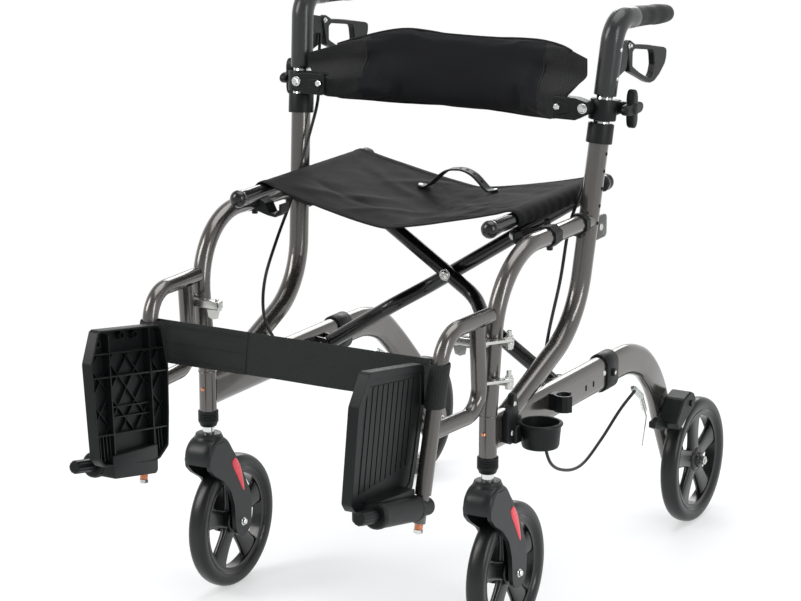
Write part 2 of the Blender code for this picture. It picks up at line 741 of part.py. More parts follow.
def frame_bores(tab_x):
    """Bores for the caster stem, the handle tube and the rear leg, and the rows of holes."""
    cuts = [bar("stem_bore", (CASTER_X, 0, 0.20), (CASTER_X, 0, FRONT_LEAN_Z + 0.004), FRONT_BORE_R, 12)]
    top = on_upright(UPRIGHT_TOP_Z)
    cuts.append(bar("handle_bore", top + UPRIGHT_AXIS * 0.02, top - UPRIGHT_AXIS * 0.19, UPRIGHT_BORE_R, 12))
    cuts.append(oval_tube("leg_bore", [(CASTER_X, LEG_INNER_Y - 0.045, OVAL_Z),
                                       (CASTER_X, OVAL_END_Y + 0.02, OVAL_Z)],
                          OVAL_W - 2 * OVAL_WALL, OVAL_H - 2 * OVAL_WALL))
    for i in range(HEIGHT_HOLES):
        p = on_upright(HEIGHT_HOLE_TOP_Z) - UPRIGHT_AXIS * (HEIGHT_HOLE_PITCH * i)
        cuts.append(bar("height_hole", p, p + Vector((0.03, 0, 0)), HEIGHT_HOLE_R, 6))
    for y in (0.283, 0.308):
        slot = fillet_outline([(y - 0.0025, OVAL_Z - 0.008), (y + 0.0025, OVAL_Z - 0.008),
                               (y + 0.0025, OVAL_Z + 0.001),
                               (y - 0.0025, OVAL_Z + 0.001)], (0.0022,) * 4, 1)
        cuts.append(slab("slot", slot, "YZ", CASTER_X + OVAL_W / 2, 0.010))
    tab_y = upright_y(0.544)
    cuts.append(bar("tab_hole", (tab_x - 0.01, tab_y + 0.046, 0.544), (tab_x + 0.01, tab_y + 0.046, 0.544),
                    0.0028, 8))
    z = COLLAR_TOP_Z + 0.0345
    cuts.append(bar("button_hole", (CASTER_X, -0.03, z), (CASTER_X, -0.004, z), 0.0034 + GAP, 8))
    return cuts


# Rear leg, its collar and the brake

def leg_route():
    """Centre of the oval leg: level in the lower tube, over the hump and in beside the wheel."""
    knots = [(CASTER_X, 0.400, OVAL_Z), (CASTER_X, 0.422, OVAL_Z), (CASTER_X, 0.447, 0.3140),
             (CASTER_X, 0.477, 0.3068), (CASTER_X, 0.508, 0.2930), (CASTER_X - 0.001, 0.541, 0.2660),
             (0.2240, 0.5735, 0.2320), (0.2185, 0.6030, 0.1950), (0.2164, 0.6300, 0.1530),
             (LEG_FOOT_X, REAR_AXLE_Y - 0.0160, WHEEL_R + 0.0140)]
    return [(CASTER_X, LEG_INNER_Y, OVAL_Z)] + smooth_path(knots, 12)


def make_rear_leg():
    """The telescoping oval leg with its stub axle."""
    width = OVAL_W - 2 * OVAL_WALL - 2 * LEG_CLEAR
    height = OVAL_H - 2 * OVAL_WALL - 2 * LEG_CLEAR
    leg = oval_tube("leg", leg_route(), width, height)
    x = LEG_FOOT_X
    foot = bar("foot", (x - 0.0075, REAR_AXLE_Y, WHEEL_R), (x + 0.0075, REAR_AXLE_Y, WHEEL_R), 0.0225, 12)
    inner = REAR_WHEEL_X - HUB_W / 2
    boss = bar("boss", (x, REAR_AXLE_Y, WHEEL_R), (inner - RUNNING_GAP, REAR_AXLE_Y, WHEEL_R), 0.009, 8)
    axle = bar("axle", (x - 0.012, REAR_AXLE_Y, WHEEL_R),
               (REAR_WHEEL_X + HUB_W / 2 + 0.009, REAR_AXLE_Y, WHEEL_R), AXLE_R, 8)
    nut = bar("nut", (REAR_WHEEL_X + HUB_W / 2 + RUNNING_GAP, REAR_AXLE_Y, WHEEL_R),
              (REAR_WHEEL_X + HUB_W / 2 + 0.0075, REAR_AXLE_Y, WHEEL_R), 0.0075, 6)
    return finish(join(leg, foot, boss, axle, nut), "rear_leg_right", PAINT)


def make_leg_collar():
    """The black oval sleeve on the mouth of the lower tube, with its screw boss."""
    outer_w = OVAL_W + 2 * LEG_COLLAR_T
    outer_h = OVAL_H + 2 * LEG_COLLAR_T
    start = OVAL_END_Y - LEG_COLLAR_L * 0.62
    end = OVAL_END_Y + LEG_COLLAR_L * 0.38
    collar = oval_tube("collar", [(CASTER_X, start, OVAL_Z), (CASTER_X, end, OVAL_Z)], outer_w, outer_h)
    collar = rounded(collar, 0.0012, 1, 60)
    seat = oval_tube("seat", [(CASTER_X, start - 0.01, OVAL_Z), (CASTER_X, OVAL_END_Y + GAP, OVAL_Z)],
                     OVAL_W + 2 * GAP, OVAL_H + 2 * GAP)
    way = oval_tube("way", [(CASTER_X, start - 0.01, OVAL_Z), (CASTER_X, end + 0.01, OVAL_Z)],
                    OVAL_W - 2 * OVAL_WALL, OVAL_H - 2 * OVAL_WALL)
    return finish(cut(collar, seat, way), "leg_collar_right", BLACK_PLASTIC)


def axle_outline(points):
    """An outline given backwards and forwards of the rear axle."""
    return [(REAR_AXLE_Y + y, z) for y, z in points]


def make_brake_housing():
    """The block on the leg over the front of the wheel, open below for the shoe."""
    outline = axle_outline([(-0.1140, 0.1905), (-0.1035, 0.1770), (-0.0880, 0.1830), (-0.0440, 0.2030),
                            (-0.0390, 0.2120),
                            (-0.0460, 0.2230), (-0.0600, 0.2290), (-0.0860, 0.2225)])
    low, high = BRAKE_X - 0.017, BRAKE_X + 0.017
    housing = slab("housing", outline, "YZ", (low + high) / 2, high - low)
    housing = rounded(housing, 0.0022, 1, 30)
    pocket = axle_outline([(-0.0980, 0.170), (-0.0240, 0.190), (-0.0440, 0.2190), (-0.0900, 0.2110)])
    housing = cut(housing, slab("pocket", pocket, "YZ", (low + high) / 2, high - low - 0.007))
    y = REAR_AXLE_Y - BRAKE_PIN_BACK
    pin = bar("pin", (low - 0.002, y, BRAKE_PIN_Z), (high + 0.0022, y, BRAKE_PIN_Z), 0.0030, 10)
    head = bar("head", (high, y, BRAKE_PIN_Z), (high + 0.0025, y, BRAKE_PIN_Z), 0.0052, 8)
    arm = slab("arm", axle_outline([(-0.1140, 0.1905), (-0.1035, 0.1770), (-0.1295, 0.1810),
                                    (-0.1500, 0.1900),
                                    (-0.1500, 0.1985), (-0.1280, 0.2010)]), "YZ", low + 0.0085, 0.011)
    return finish(join(housing, pin, head, arm), "brake_housing_right", BLACK_PLASTIC)


def make_brake_arm():
    """The shoe lever in the block: it turns on the block's pin and swings its pad into the tyre."""
    pin = Vector((REAR_AXLE_Y - BRAKE_PIN_BACK, BRAKE_PIN_Z))

    def at(degrees, radius):
        a = math.radians(degrees)
        return (REAR_AXLE_Y + radius * math.cos(a), WHEEL_R + radius * math.sin(a))

    head = [(pin.x + 0.0054 * math.cos(a), pin.y + 0.0054 * math.sin(a))
            for a in np.radians([-20, 40, 100, 160])]
    pad = [at(136, WHEEL_R + 0.0120), at(136, WHEEL_R + SHOE_GAP), at(130, WHEEL_R + SHOE_GAP),
           at(124, WHEEL_R + SHOE_GAP), at(124, WHEEL_R + 0.0120)]
    arm = slab("arm", head + pad, "YZ", BRAKE_X, 0.020)
    bore = bar("bore", (BRAKE_X - 0.02, *pin), (BRAKE_X + 0.02, *pin), 0.0030 + RUNNING_GAP, 8)
    return finish(cut(arm, bore), "brake_shoe_right", ZINC)


CABLE_END = (0.2290, 0.4830, 0.2560)
CABLE_TOP = [(0.2485, 0.3560, 0.7860), (0.2480, 0.3510, 0.7600), (0.2430, 0.3400, 0.7250)]
CABLE_NEAR = [(0.2330, 0.3230, 0.6700), (0.2225, 0.2950, 0.6000), (0.2165, 0.2700, 0.5500),
              (0.2125, 0.2524, 0.4767),
              (0.2110, 0.2180, 0.4000), (0.2105, 0.2020, 0.3300), (0.2115, 0.2070, 0.2600),
              (0.2120, 0.2287, 0.2096),
              (0.2120, 0.2791, 0.1834), (0.2120, 0.3367, 0.1767), (0.2130, 0.3981, 0.1977),
              (0.2190, 0.4520, 0.2320)]
CABLE_FAR = [(0.2280, 0.3120, 0.6900), (0.2240, 0.2840, 0.6500), (0.2235, 0.2520, 0.6010),
             (0.2225, 0.2230, 0.5535),
             (0.2150, 0.1702, 0.5049), (0.2110, 0.1310, 0.4562), (0.2110, 0.1240, 0.4100),
             (0.2110, 0.1400, 0.3740),
             (0.2110, 0.1900, 0.3200), (0.2110, 0.2400, 0.2780), (0.2120, 0.3200, 0.2500),
             (0.2180, 0.4200, 0.2500)]


def make_cable(name, lower):
    """A brake cable, held at the lever and near the block and bowed between."""
    cable = tube(name, smooth_path(CABLE_TOP + lower + [CABLE_END], 35), 0.0024, 6)
    return finish(cable, name, CABLE)


# Handles

def make_handle():
    """The handle: inner tube, bent casing with shaped grip, and the lever's long bracket."""
    base = on_upright(CASING_BOTTOM_Z)
    corner = on_upright(CASING_CORNER_Z)
    end = Vector((corner.x, GRIP_END_Y, CASING_CORNER_Z - GRIP_DROP * (GRIP_END_Y - corner.y)))
    path = fillet_path([base, corner, end], (CASING_BEND_R,), 20)
    way = (end - corner).normalized()
    bent = path[:-1]
    last = bent[-1]
    reach = (end - last).length
    grip = [(0.14, 1.0), (0.42, 0.93), (0.64, 0.97), (0.88, 0.90), (0.965, 0.70), (1.0, 0.36)]
    points = bent + [last + way * (reach * share) for share, _ in grip]
    radii = [1.0] * len(bent) + [size * GRIP_R / CASING_R * 1.06 for _, size in grip]
    handle = tube("handle", points, CASING_R, 12, radii)
    inner = bar("inner", base + UPRIGHT_AXIS * 0.004, base - UPRIGHT_AXIS * HANDLE_TUBE_LENGTH, HANDLE_TUBE_R,
                12)
    top, low = on_upright(0.8150), on_upright(0.7560)
    back = CASING_R - 0.003
    long_plate = [(top.y + back, top.z + 0.004), (top.y + back + 0.012, top.z),
                  (LEVER_PIVOT_Y + 0.0075, LEVER_PIVOT_Z + 0.004),
                  (LEVER_PIVOT_Y + 0.0065, LEVER_PIVOT_Z - 0.0075), (LEVER_PIVOT_Y - 0.004, 0.785),
                  (LEVER_PIVOT_Y - 0.008, 0.770),
                  (low.y + back + 0.012, low.z + 0.006), (low.y + back + 0.006, low.z - 0.014),
                  (low.y + back, low.z - 0.014)]
    plate = slab("bracket", long_plate, "YZ", rear_x(0.79), 0.0075)
    pin = bar("pin", (rear_x(0.80) - 0.0085, LEVER_PIVOT_Y, LEVER_PIVOT_Z),
              (rear_x(0.80) + 0.0085, LEVER_PIVOT_Y, LEVER_PIVOT_Z), 0.0026, 8)
    return finish(join(handle, inner, plate, pin), "handle_right", GREY_CASING)


def make_height_collar():
    """The bush on the top of the rear upright that the handle tube slides through."""
    centre = on_upright(HEIGHT_COLLAR_BOTTOM)
    top = (HEIGHT_COLLAR_TOP - HEIGHT_COLLAR_BOTTOM) / UPRIGHT_AXIS.z
    lip = (UPRIGHT_TOP_Z - HEIGHT_COLLAR_BOTTOM) / UPRIGHT_AXIS.z + GAP
    outer = HEIGHT_COLLAR_R
    profile = [(UPRIGHT_BORE_R, top), (outer - 0.001, top), (outer, top - 0.002), (outer + 0.0006, 0.0),
               (UPRIGHT_R + GAP, 0.0), (UPRIGHT_R + GAP, lip), (UPRIGHT_BORE_R, lip)]
    collar = turned("collar", profile, centre, UPRIGHT_AXIS, steps=12, closed=True)
    return finish(collar, "height_collar_right", BLACK_PLASTIC)


def make_lever():
    """The loop-shaped brake lever: thin upper arm, wide finger pad at the rear, lower arm."""
    y, z = LEVER_PIVOT_Y, LEVER_PIVOT_Z
    outer = [(y - 0.007, z + 0.004), (y + 0.004, z + 0.0075), (0.3895, 0.8035), (0.440, 0.7955),
             (0.4970, 0.7845),
             (0.5040, 0.7810), (0.5030, 0.7690), (0.4980, 0.7600), (0.4800, 0.7470), (0.4620, 0.7390),
             (0.4480, 0.7380),
             (0.4330, 0.7425), (0.4050, 0.7535), (0.3800, 0.7630)]
    low = [(0.3740, 0.7655), (0.3735, 0.7705), (0.3790, 0.7715)]
    outer = outer + low
    inner = [(0.3840, 0.7720), (0.4100, 0.7590), (0.4380, 0.7475), (0.4480, 0.7470), (0.4550, 0.7530),
             (0.4600, 0.7640),
             (0.4570, 0.7800), (0.4530, 0.7860), (0.4300, 0.7900), (0.3920, 0.7960), (0.3840, 0.7930)]
    x = rear_x(0.78)
    lever = slab("lever", outer, "YZ", x, LEVER_T)
    lever = cut(lever, slab("hand_hole", inner, "YZ", x, 0.05))
    slot = [(0.36, 0.782), (y + 0.0095, 0.7815), (y + 0.0095, z + 0.012), (0.36, z + 0.012)]
    lever = cut(lever, slab("fork_slot", slot, "YZ", x, 0.0075 + 2 * RUNNING_GAP))
    bore = bar("bore", (x - 0.02, y, z), (x + 0.02, y, z), 0.0026 + RUNNING_GAP, 8)
    return finish(cut(lever, bore), "brake_lever_right", BLACK_PLASTIC)


def make_clamp():
    """The ring clamp on the handle tube: a screw boss behind and the bracket's hinge bolt in front."""
    centre = on_upright(CLAMP_Z)
    half = CLAMP_H / 2
    clamp = turned("clamp", [(0, half), (CLAMP_R - 0.0015, half), (CLAMP_R, half - 0.0015),
                             (CLAMP_R, -half + 0.0015),
                             (CLAMP_R - 0.0015, -half), (0, -half)], centre, UPRIGHT_AXIS, steps=12)
    ear = block("ear", (centre.x + 0.003, centre.y + 0.008, CLAMP_Z - 0.0105),
                (centre.x + 0.013, KNOB_Y + 0.0095, CLAMP_Z + 0.0105))
    boss = bar("boss", (centre.x + 0.006, KNOB_Y, CLAMP_Z), (KNOB_START_X - GAP, KNOB_Y, CLAMP_Z), 0.0092, 8)
    front = centre.y - CLAMP_R + 0.009
    seat = BRACKET_Y + BRACKET_DEEP / 2 + GAP
    lug = bar("lug", (BOLT_X, front, BOLT_Z), (BOLT_X, seat, BOLT_Z), 0.0088, 8)
    bore = bar("bore", centre - UPRIGHT_AXIS * 0.04, centre + UPRIGHT_AXIS * 0.04, HANDLE_TUBE_R + GAP, 12)
    clamp = cut(join(clamp, ear, boss, lug), bore)
    face = BRACKET_Y - BRACKET_DEEP / 2 - RUNNING_GAP
    bolt = bar("bolt", (BOLT_X, face - 0.002, BOLT_Z), (BOLT_X, seat + 0.004, BOLT_Z), BOLT_R, 8)
    head = bar("head", (BOLT_X, face - 0.0042, BOLT_Z), (BOLT_X, face, BOLT_Z), 0.0058, 6)
    stud = bar("stud", (KNOB_START_X - 0.004, KNOB_Y, CLAMP_Z), (KNOB_START_X + 0.0095, KNOB_Y, CLAMP_Z),
               BOLT_R, 8)
    return finish(join(clamp, bolt, head, stud), "backrest_clamp_right", BLACK_PLASTIC)


def make_knob():
    """The lobed hand knob that tightens the clamp."""
    start = KNOB_START_X
    outline = []
    steps = 20
    for i in range(steps):
        a = 2 * math.pi * i / steps
        r = KNOB_R * (0.70 + 0.30 * math.cos(KNOB_LOBES * a))
        outline.append((KNOB_Y + r * math.cos(a), CLAMP_Z + r * math.sin(a)))
    knob = slab("knob", outline, "YZ", start + 0.004 + KNOB_T / 2, KNOB_T)
    knob = rounded(knob, 0.0022, 1, 50)
    neck = bar("neck", (start, KNOB_Y, CLAMP_Z), (start + 0.008, KNOB_Y, CLAMP_Z), 0.0085, 10)
    cap = bar("cap", (start + 0.010, KNOB_Y, CLAMP_Z), (start + KNOB_T + KNOB_CAP, KNOB_Y, CLAMP_Z), 0.0105,
              10, 0.0085)
    bore = bar("bore", (start - 0.01, KNOB_Y, CLAMP_Z), (start + 0.0105, KNOB_Y, CLAMP_Z),
               BOLT_R + RUNNING_GAP, 8)
    return finish(cut(join(knob, neck, cap), bore), "clamp_knob_right", BLACK_PLASTIC)


def make_bracket():
    """The moulded bracket that turns on the clamp's front bolt and grips the backrest in its slot."""
    low, high = BOLT_Z - BRACKET_LOW, BOLT_Z + BRACKET_HIGH
    nose = [(BOLT_X + 0.0105 * math.cos(a), BOLT_Z + 0.0105 * math.sin(a))
            for a in np.radians([-70, -35, 0, 35, 70])]
    outline = [(BRACKET_END_X, high - 0.004), (BRACKET_END_X, low + 0.004), (BRACKET_END_X + 0.004, low),
               (BOLT_X - 0.012, low)] + nose + [(BOLT_X - 0.012, high), (BRACKET_END_X + 0.004, high)]
    bracket = slab("bracket", outline, "XZ", BRACKET_Y, BRACKET_DEEP)
    bracket = rounded(bracket, 0.0022, 1, 50)
    half = BRACKET_SLOT / 2
    slot = block("slot", (0.10, BRACKET_Y - half, low - 0.01),
                 (BRACKET_SLOT_X, BRACKET_Y + half, high + 0.01))
    bore = bar("bore", (BOLT_X, BRACKET_Y - 0.03, BOLT_Z), (BOLT_X, BRACKET_Y + 0.03, BOLT_Z),
               BOLT_R + RUNNING_GAP, 8)
    bracket = cut(bracket, slot, bore)
    face = BRACKET_Y - BRACKET_DEEP / 2
    bolt = bar("bolt", (BRACKET_BOLT_X, face - 0.003, BOLT_Z),
               (BRACKET_BOLT_X, BRACKET_Y + BRACKET_DEEP / 2 + 0.001, BOLT_Z), 0.0025, 6)
    head = bar("head", (BRACKET_BOLT_X, face - 0.0032, BOLT_Z), (BRACKET_BOLT_X, face + 0.001, BOLT_Z),
               0.0050, 6)
    return finish(join(bracket, bolt, head), "backrest_bracket_right", BLACK_PLASTIC)


# Footrest

LATCH_X = POST_X - 0.0385
LATCH_Y = -0.0225


def make_hanger():
    """The welded footrest loop with its two hinge plates and the latch box."""
    stop_y = -FRONT_TUBE_R - 0.0008
    low = Vector((hanger_x(HANGER_END_Z), hanger_front_y(HANGER_END_Z), HANGER_END_Z))
    main = tube("hanger", fillet_path([(POST_X + 0.002, stop_y, HANGER_TOP_Z - 0.001),
                                       (hanger_x(HANGER_TOP_Z), HANGER_FRONT_Y, HANGER_TOP_Z), low],
                                      (HANGER_BEND_R,), 22), HANGER_R, 10)
    end = (hanger_x(HANGER_LOW_Z), hanger_front_y(HANGER_LOW_Z), HANGER_LOW_Z + 0.001)
    loop = tube("loop", fillet_path([(POST_X, HANGER_POST_Y - 0.006, HANGER_TOP_Z - 0.008),
                                     (POST_X, HANGER_POST_Y + 0.003, HANGER_LOW_Z), end], (0.034,), 22),
                                     HANGER_R, 10)
    hanger = join(main, loop)
    for z in (UPPER_PIN_Z, LOWER_PIN_Z):
        x = POST_X
        y = HANGER_POST_Y
        run = Vector((HINGE_PIN_X - x, -y, 0)).normalized()
        side = Vector((-run.y, run.x, 0)) * 0.0068
        a, b = Vector((x, y, 0)), Vector((HINGE_PIN_X, 0, 0))
        nose = [b + run * (0.0068 * math.cos(t)) - side * math.sin(t)
                for t in np.linspace(-math.pi / 2, math.pi / 2, 5)]
        outline = [p[:2] for p in [a + side * 0.9, *nose, a - side * 0.9]]
        plate = slab("plate", outline, "XY", z, PLATE_T)
        hanger = join(hanger, plate)
        hanger = cut(hanger, bar("eye", (HINGE_PIN_X, 0, z - 0.02), (HINGE_PIN_X, 0, z + 0.02),
                                 HINGE_PIN_R + GAP, 8))
    z = UPPER_PIN_Z - 0.004
    box = block("latch_box", (LATCH_X - 0.007, -0.0290, z - 0.005), (POST_X + 0.004, -0.0155, z + 0.006))
    box = rounded(box, 0.0012, 1)
    hanger = join(hanger, box)
    stud = bar("latch_pin", (LATCH_X, LATCH_Y, z - 0.013), (LATCH_X, LATCH_Y, z + 0.009), 0.0026, 8)
    hanger = join(hanger, stud)
    lower = low - HANGER_AXIS * 0.10
    bore = bar("bore", lower, low + HANGER_AXIS * 0.02, STEM_TUBE_R + RUNNING_GAP, 12)
    return finish(cut(hanger, bore), "footrest_hanger_right", PAINT)


def make_latch():
    """The release tab under the latch box; it turns on the box's pin and hooks the front tube."""
    z = UPPER_PIN_Z - 0.004 - 0.005 - GAP
    x = LATCH_X
    y = LATCH_Y
    hub = [(x + 0.0055 * math.cos(a), y + 0.0055 * math.sin(a)) for a in np.radians([150, 190, 230, 270])]
    arm = hub + [(x + 0.018, y - 0.002), (x + 0.0225, y + 0.008), (x + 0.0230, y + 0.026),
                 (x + 0.0180, y + 0.028),
                 (x + 0.0160, y + 0.020), (x + 0.008, y + 0.010), (x - 0.004, y + 0.006)]
    lever = slab("lever", arm, "XY", z - 0.0015, 0.003)
    tab = slab("tab", [(x - 0.007, z - 0.001), (x + 0.013, z - 0.001), (x + 0.011, z - 0.012),
                       (x + 0.004, z - 0.015),
                       (x - 0.004, z - 0.013)], "XZ", y - 0.0042, 0.0028)
    lever = join(lever, tab)
    bore = bar("bore", (x, y, z - 0.01), (x, y, z + 0.01), 0.0026 + RUNNING_GAP, 8)
    return finish(cut(lever, bore), "hanger_latch_right", ZINC)


def footplate_point(y, z, depth=0.0):
    """A point of the upturned plate: depth runs inwards from the tread face."""
    return Vector((FOOTPLATE_X + FOOTPLATE_LEAN * (z - 0.31) - depth, y, z))


PLATE_OUTLINE = [(-0.1860, 0.2680), (-0.1640, 0.2800), (-0.1560, 0.3260), (-0.1480, 0.3930),
                 (-0.1560, 0.4480), (-0.1630, 0.4525),
                 (-0.2980, 0.4745), (-0.3055, 0.4725), (-0.3200, 0.4320), (-0.3270, 0.3020),
                 (-0.3170, 0.2900),
                 (-0.2000, 0.2670)]


def plate_slab(name, outline, near, far):
    """A prism of the plate, between two depths from the tread face."""
    rings = [[footplate_point(y, z, depth) for y, z in outline] for depth in (near, far)]
    return loft(name, rings)


def make_footplate():
    """The upturned footplate: grooved tread outside, deep rim and crossed ribs inside."""
    plate = plate_slab("plate", PLATE_OUTLINE, 0.0, FOOTPLATE_T)
    mid_y, mid_z = -0.2370, 0.3700
    inner = [(mid_y + (y - mid_y) * 0.955, mid_z + (z - mid_z) * 0.960) for y, z in PLATE_OUTLINE]
    plate = cut(plate, plate_slab("tray", inner, FOOTPLATE_SKIN, FOOTPLATE_T + 0.01))
    ribs = []

    def rib(start, end, depth, thickness=FOOTPLATE_RIB):
        a, b = Vector((*start, 0)), Vector((*end, 0))
        side = Vector((-(b - a).y, (b - a).x, 0)).normalized() * (thickness / 2)
        outline = [p[:2] for p in (a + side, b + side, b - side, a - side)]
        return plate_slab("rib", outline, FOOTPLATE_SKIN - 0.0008, depth)

    ribs.append(rib((-0.2760, 0.281), (-0.2660, 0.471), FOOTPLATE_T - 0.0010, 0.0026))
    ribs.append(rib((-0.2120, 0.268), (-0.2010, 0.460), FOOTPLATE_T - 0.0010, 0.0026))
    for z in (0.327, 0.377, 0.427):
        ribs.append(rib((-0.3240, z + 0.0110), (-0.1520, z - 0.0170), FOOTPLATE_T - 0.0035))
    for start, end in (((-0.2700, 0.320), (-0.2080, 0.425)), ((-0.2690, 0.425), (-0.2080, 0.320))):
        ribs.append(rib(start, end, FOOTPLATE_SKIN + 0.0035, 0.0016))
    plate = join(plate, *ribs)
    for i in range(TREAD_GROOVES):
        y = -0.2980 + 0.0270 * i
        groove = plate_slab("groove", [(y - 0.0012, 0.308), (y + 0.0012, 0.308),
                                       (y + 0.0072, 0.452 - 0.002 * i),
                                       (y + 0.0048, 0.452 - 0.002 * i)], -0.002, 0.0010)
        plate = cut(plate, groove)
    barrel = bar("barrel", barrel_point(BARREL_REAR_Y), barrel_point(BARREL_FRONT_Y), BARREL_R, 12)
    root = block("root", (FOOTPLATE_X - 0.0170, BARREL_FRONT_Y + 0.004, 0.2700),
                 (BARREL_X, BARREL_REAR_Y - 0.0005, 0.2800))
    plate = join(plate, root, barrel)
    bore = bar("bore", barrel_point(-0.1200), barrel_point(-0.3600), 0.0052 + RUNNING_GAP, 8)
    return finish(cut(plate, bore), "footplate_right", BLACK_PLASTIC)


def make_footplate_stem():
    """The height-adjusting tube with its cross pin, the hand knob in front and the stop nut."""
    top = Vector((hanger_x(0.345), hanger_front_y(0.345), 0.345))
    low = Vector((hanger_x(0.238), hanger_front_y(0.238), 0.238))
    stem = bar("stem", low, top, STEM_TUBE_R, 12)
    lug = bar("lug", barrel_point(BARREL_REAR_Y + RUNNING_GAP), barrel_point(BARREL_REAR_Y + 0.030), 0.0125,
              10)
    pin = bar("pin", barrel_point(BARREL_REAR_Y + 0.010), barrel_point(KNOB_FRONT_Y + 0.012), 0.0052, 8)
    start = barrel_point(BARREL_FRONT_Y - RUNNING_GAP)
    reach = (start.y - KNOB_FRONT_Y) / -BARREL_AXIS.y
    knob = turned("knob", [(0, reach), (0.0078, reach), (0.0095, reach - 0.003), (0.0095, 0.0), (0, 0.0)],
                  start, BARREL_AXIS, steps=10)
    nut = bar("nut", low - HANGER_AXIS * 0.004, low + HANGER_AXIS * 0.015, 0.0062, 8)
    return finish(join(stem, lug, pin, knob, nut), "footplate_stem_right", PAINT)


# Seat rails and cross brace

def cross_tube(name, upper_y, low_y, lower_side):
    """One cross tube: straight above the pivot, stepped forward below it, flattened eye at the foot."""
    top = along_cross(-RAIL_X / math.cos(CROSS_ANGLE) + 0.004, lower_side)
    near = along_cross(CROSS_JOGGLE_NEAR, lower_side)
    far = along_cross(CROSS_JOGGLE_FAR, lower_side)
    foot = along_cross(RAIL_X / math.cos(CROSS_ANGLE), lower_side)
    path = fillet_path([(top[0], upper_y, top[1]), (near[0], upper_y, near[1]), (far[0], low_y, far[1]),
                        (foot[0], low_y, foot[1])], (0.05, 0.05), 20)
    made = tube(name, path, CROSS_R, 10)
    eye = bar("eye", (foot[0], low_y - CROSS_R, foot[1]), (foot[0], low_y + CROSS_R, foot[1]), CROSS_R, 12)
    return join(made, eye), foot


def make_cross(name, front):
    """A cross tube with the seat rail that it carries, bored for the centre and lower pins."""
    side = 1 if front else -1
    upper_y = CROSS_FRONT_Y if front else CROSS_REAR_Y
    low_y = CROSS_FRONT_LOW_Y if front else CROSS_REAR_LOW_Y
    made, foot = cross_tube(name, upper_y, low_y, side)
    made = cut(made, bar("bore", (foot[0], low_y - 0.03, foot[1]), (foot[0], low_y + 0.03, foot[1]),
                         PIN_R + RUNNING_GAP, 8))
    rail_gap = bar("rail_room", (-side * RAIL_X, 0.2, RAIL_Z), (-side * RAIL_X, 0.5, RAIL_Z), RAIL_R + GAP,
                   12)
    made = cut(made, rail_gap)
    bolt_at = along_cross(-LINK_S, side)
    head_y = upper_y - CROSS_R
    if front:
        pin = bar("centre_pin", (0, CROSS_FRONT_Y - CROSS_R - 0.001, CENTRE_Z),
                  (0, CROSS_REAR_Y + CROSS_R + 0.006, CENTRE_Z), PIN_R, 8)
        head = bar("head", (0, CROSS_FRONT_Y - CROSS_R - 0.0045, CENTRE_Z),
                   (0, CROSS_FRONT_Y - CROSS_R + 0.002, CENTRE_Z), 0.0070, 8)
        made = join(made, pin, head)
    else:
        made = cut(made, bar("bore", (0, 0.2, CENTRE_Z), (0, 0.5, CENTRE_Z), PIN_R + RUNNING_GAP, 8))
    link_pin = bar("link_pin", (bolt_at[0], head_y - LINK_T - 0.0022, bolt_at[1]),
                   (bolt_at[0], head_y + 0.006, bolt_at[1]), PIN_R, 8)
    link_head = bar("link_head", (bolt_at[0], head_y - LINK_T - 0.0050, bolt_at[1]),
                    (bolt_at[0], head_y - LINK_T - GAP, bolt_at[1]), 0.0065, 6)
    return finish(join(made, link_pin, link_head), name, BLACK_GLOSS)


def link_front(upper_y):
    """Front face of the link bar that lies against a cross tube."""
    return upper_y - CROSS_R - LINK_T


def make_link(name, side):
    """The flat bar from a cross tube's bolt out towards the side frame."""
    upper_y = CROSS_REAR_Y if side > 0 else CROSS_FRONT_Y
    x0, z0 = along_cross(-LINK_S, -side)
    a = math.radians(LINK_SLOPE)
    way = Vector((side * math.cos(a), math.sin(a), 0))
    across = Vector((-way.y, way.x, 0)) * (LINK_W / 2)
    start = Vector((x0, z0, 0))
    end = start + way * LINK_LENGTH
    turn = np.linspace(-math.pi / 2, math.pi / 2, 7)
    tip = [end + way * (LINK_W / 2 * math.cos(t)) + across * math.sin(t) for t in turn]
    tail = [start - way * (LINK_W / 2 * math.cos(t)) - across * math.sin(t) for t in turn]
    y = link_front(upper_y) + (LINK_T - GAP) / 2
    bar_made = slab(name, [p[:2] for p in tip + tail], "XZ", y, LINK_T - GAP)
    bore = bar("bore", (x0, y - 0.02, z0), (x0, y + 0.02, z0), PIN_R + RUNNING_GAP, 10)
    return finish(cut(bar_made, bore), name, BLACK_GLOSS)


def make_rail(name, side):
    """A seat rail tube with its two mushroom end caps."""
    x = side * RAIL_X
    rail = bar(name, (x, RAIL_FRONT_Y - 0.004, RAIL_Z), (x, RAIL_REAR_Y + 0.004, RAIL_Z), RAIL_R, 12)
    for end_y, way in ((RAIL_FRONT_Y, -1), (RAIL_REAR_Y, 1)):
        profile = [(0, 0.012), (0.0085, 0.009), (RAIL_CAP_R, 0.0), (RAIL_R + 0.0012, -0.005),
                   (RAIL_R + 0.0012, -0.012),
                   (0, -0.012)]
        rail = join(rail, turned("cap", profile, (x, end_y, RAIL_Z), (0, way, 0), steps=12))
    return finish(rail, name, BLACK_GLOSS)


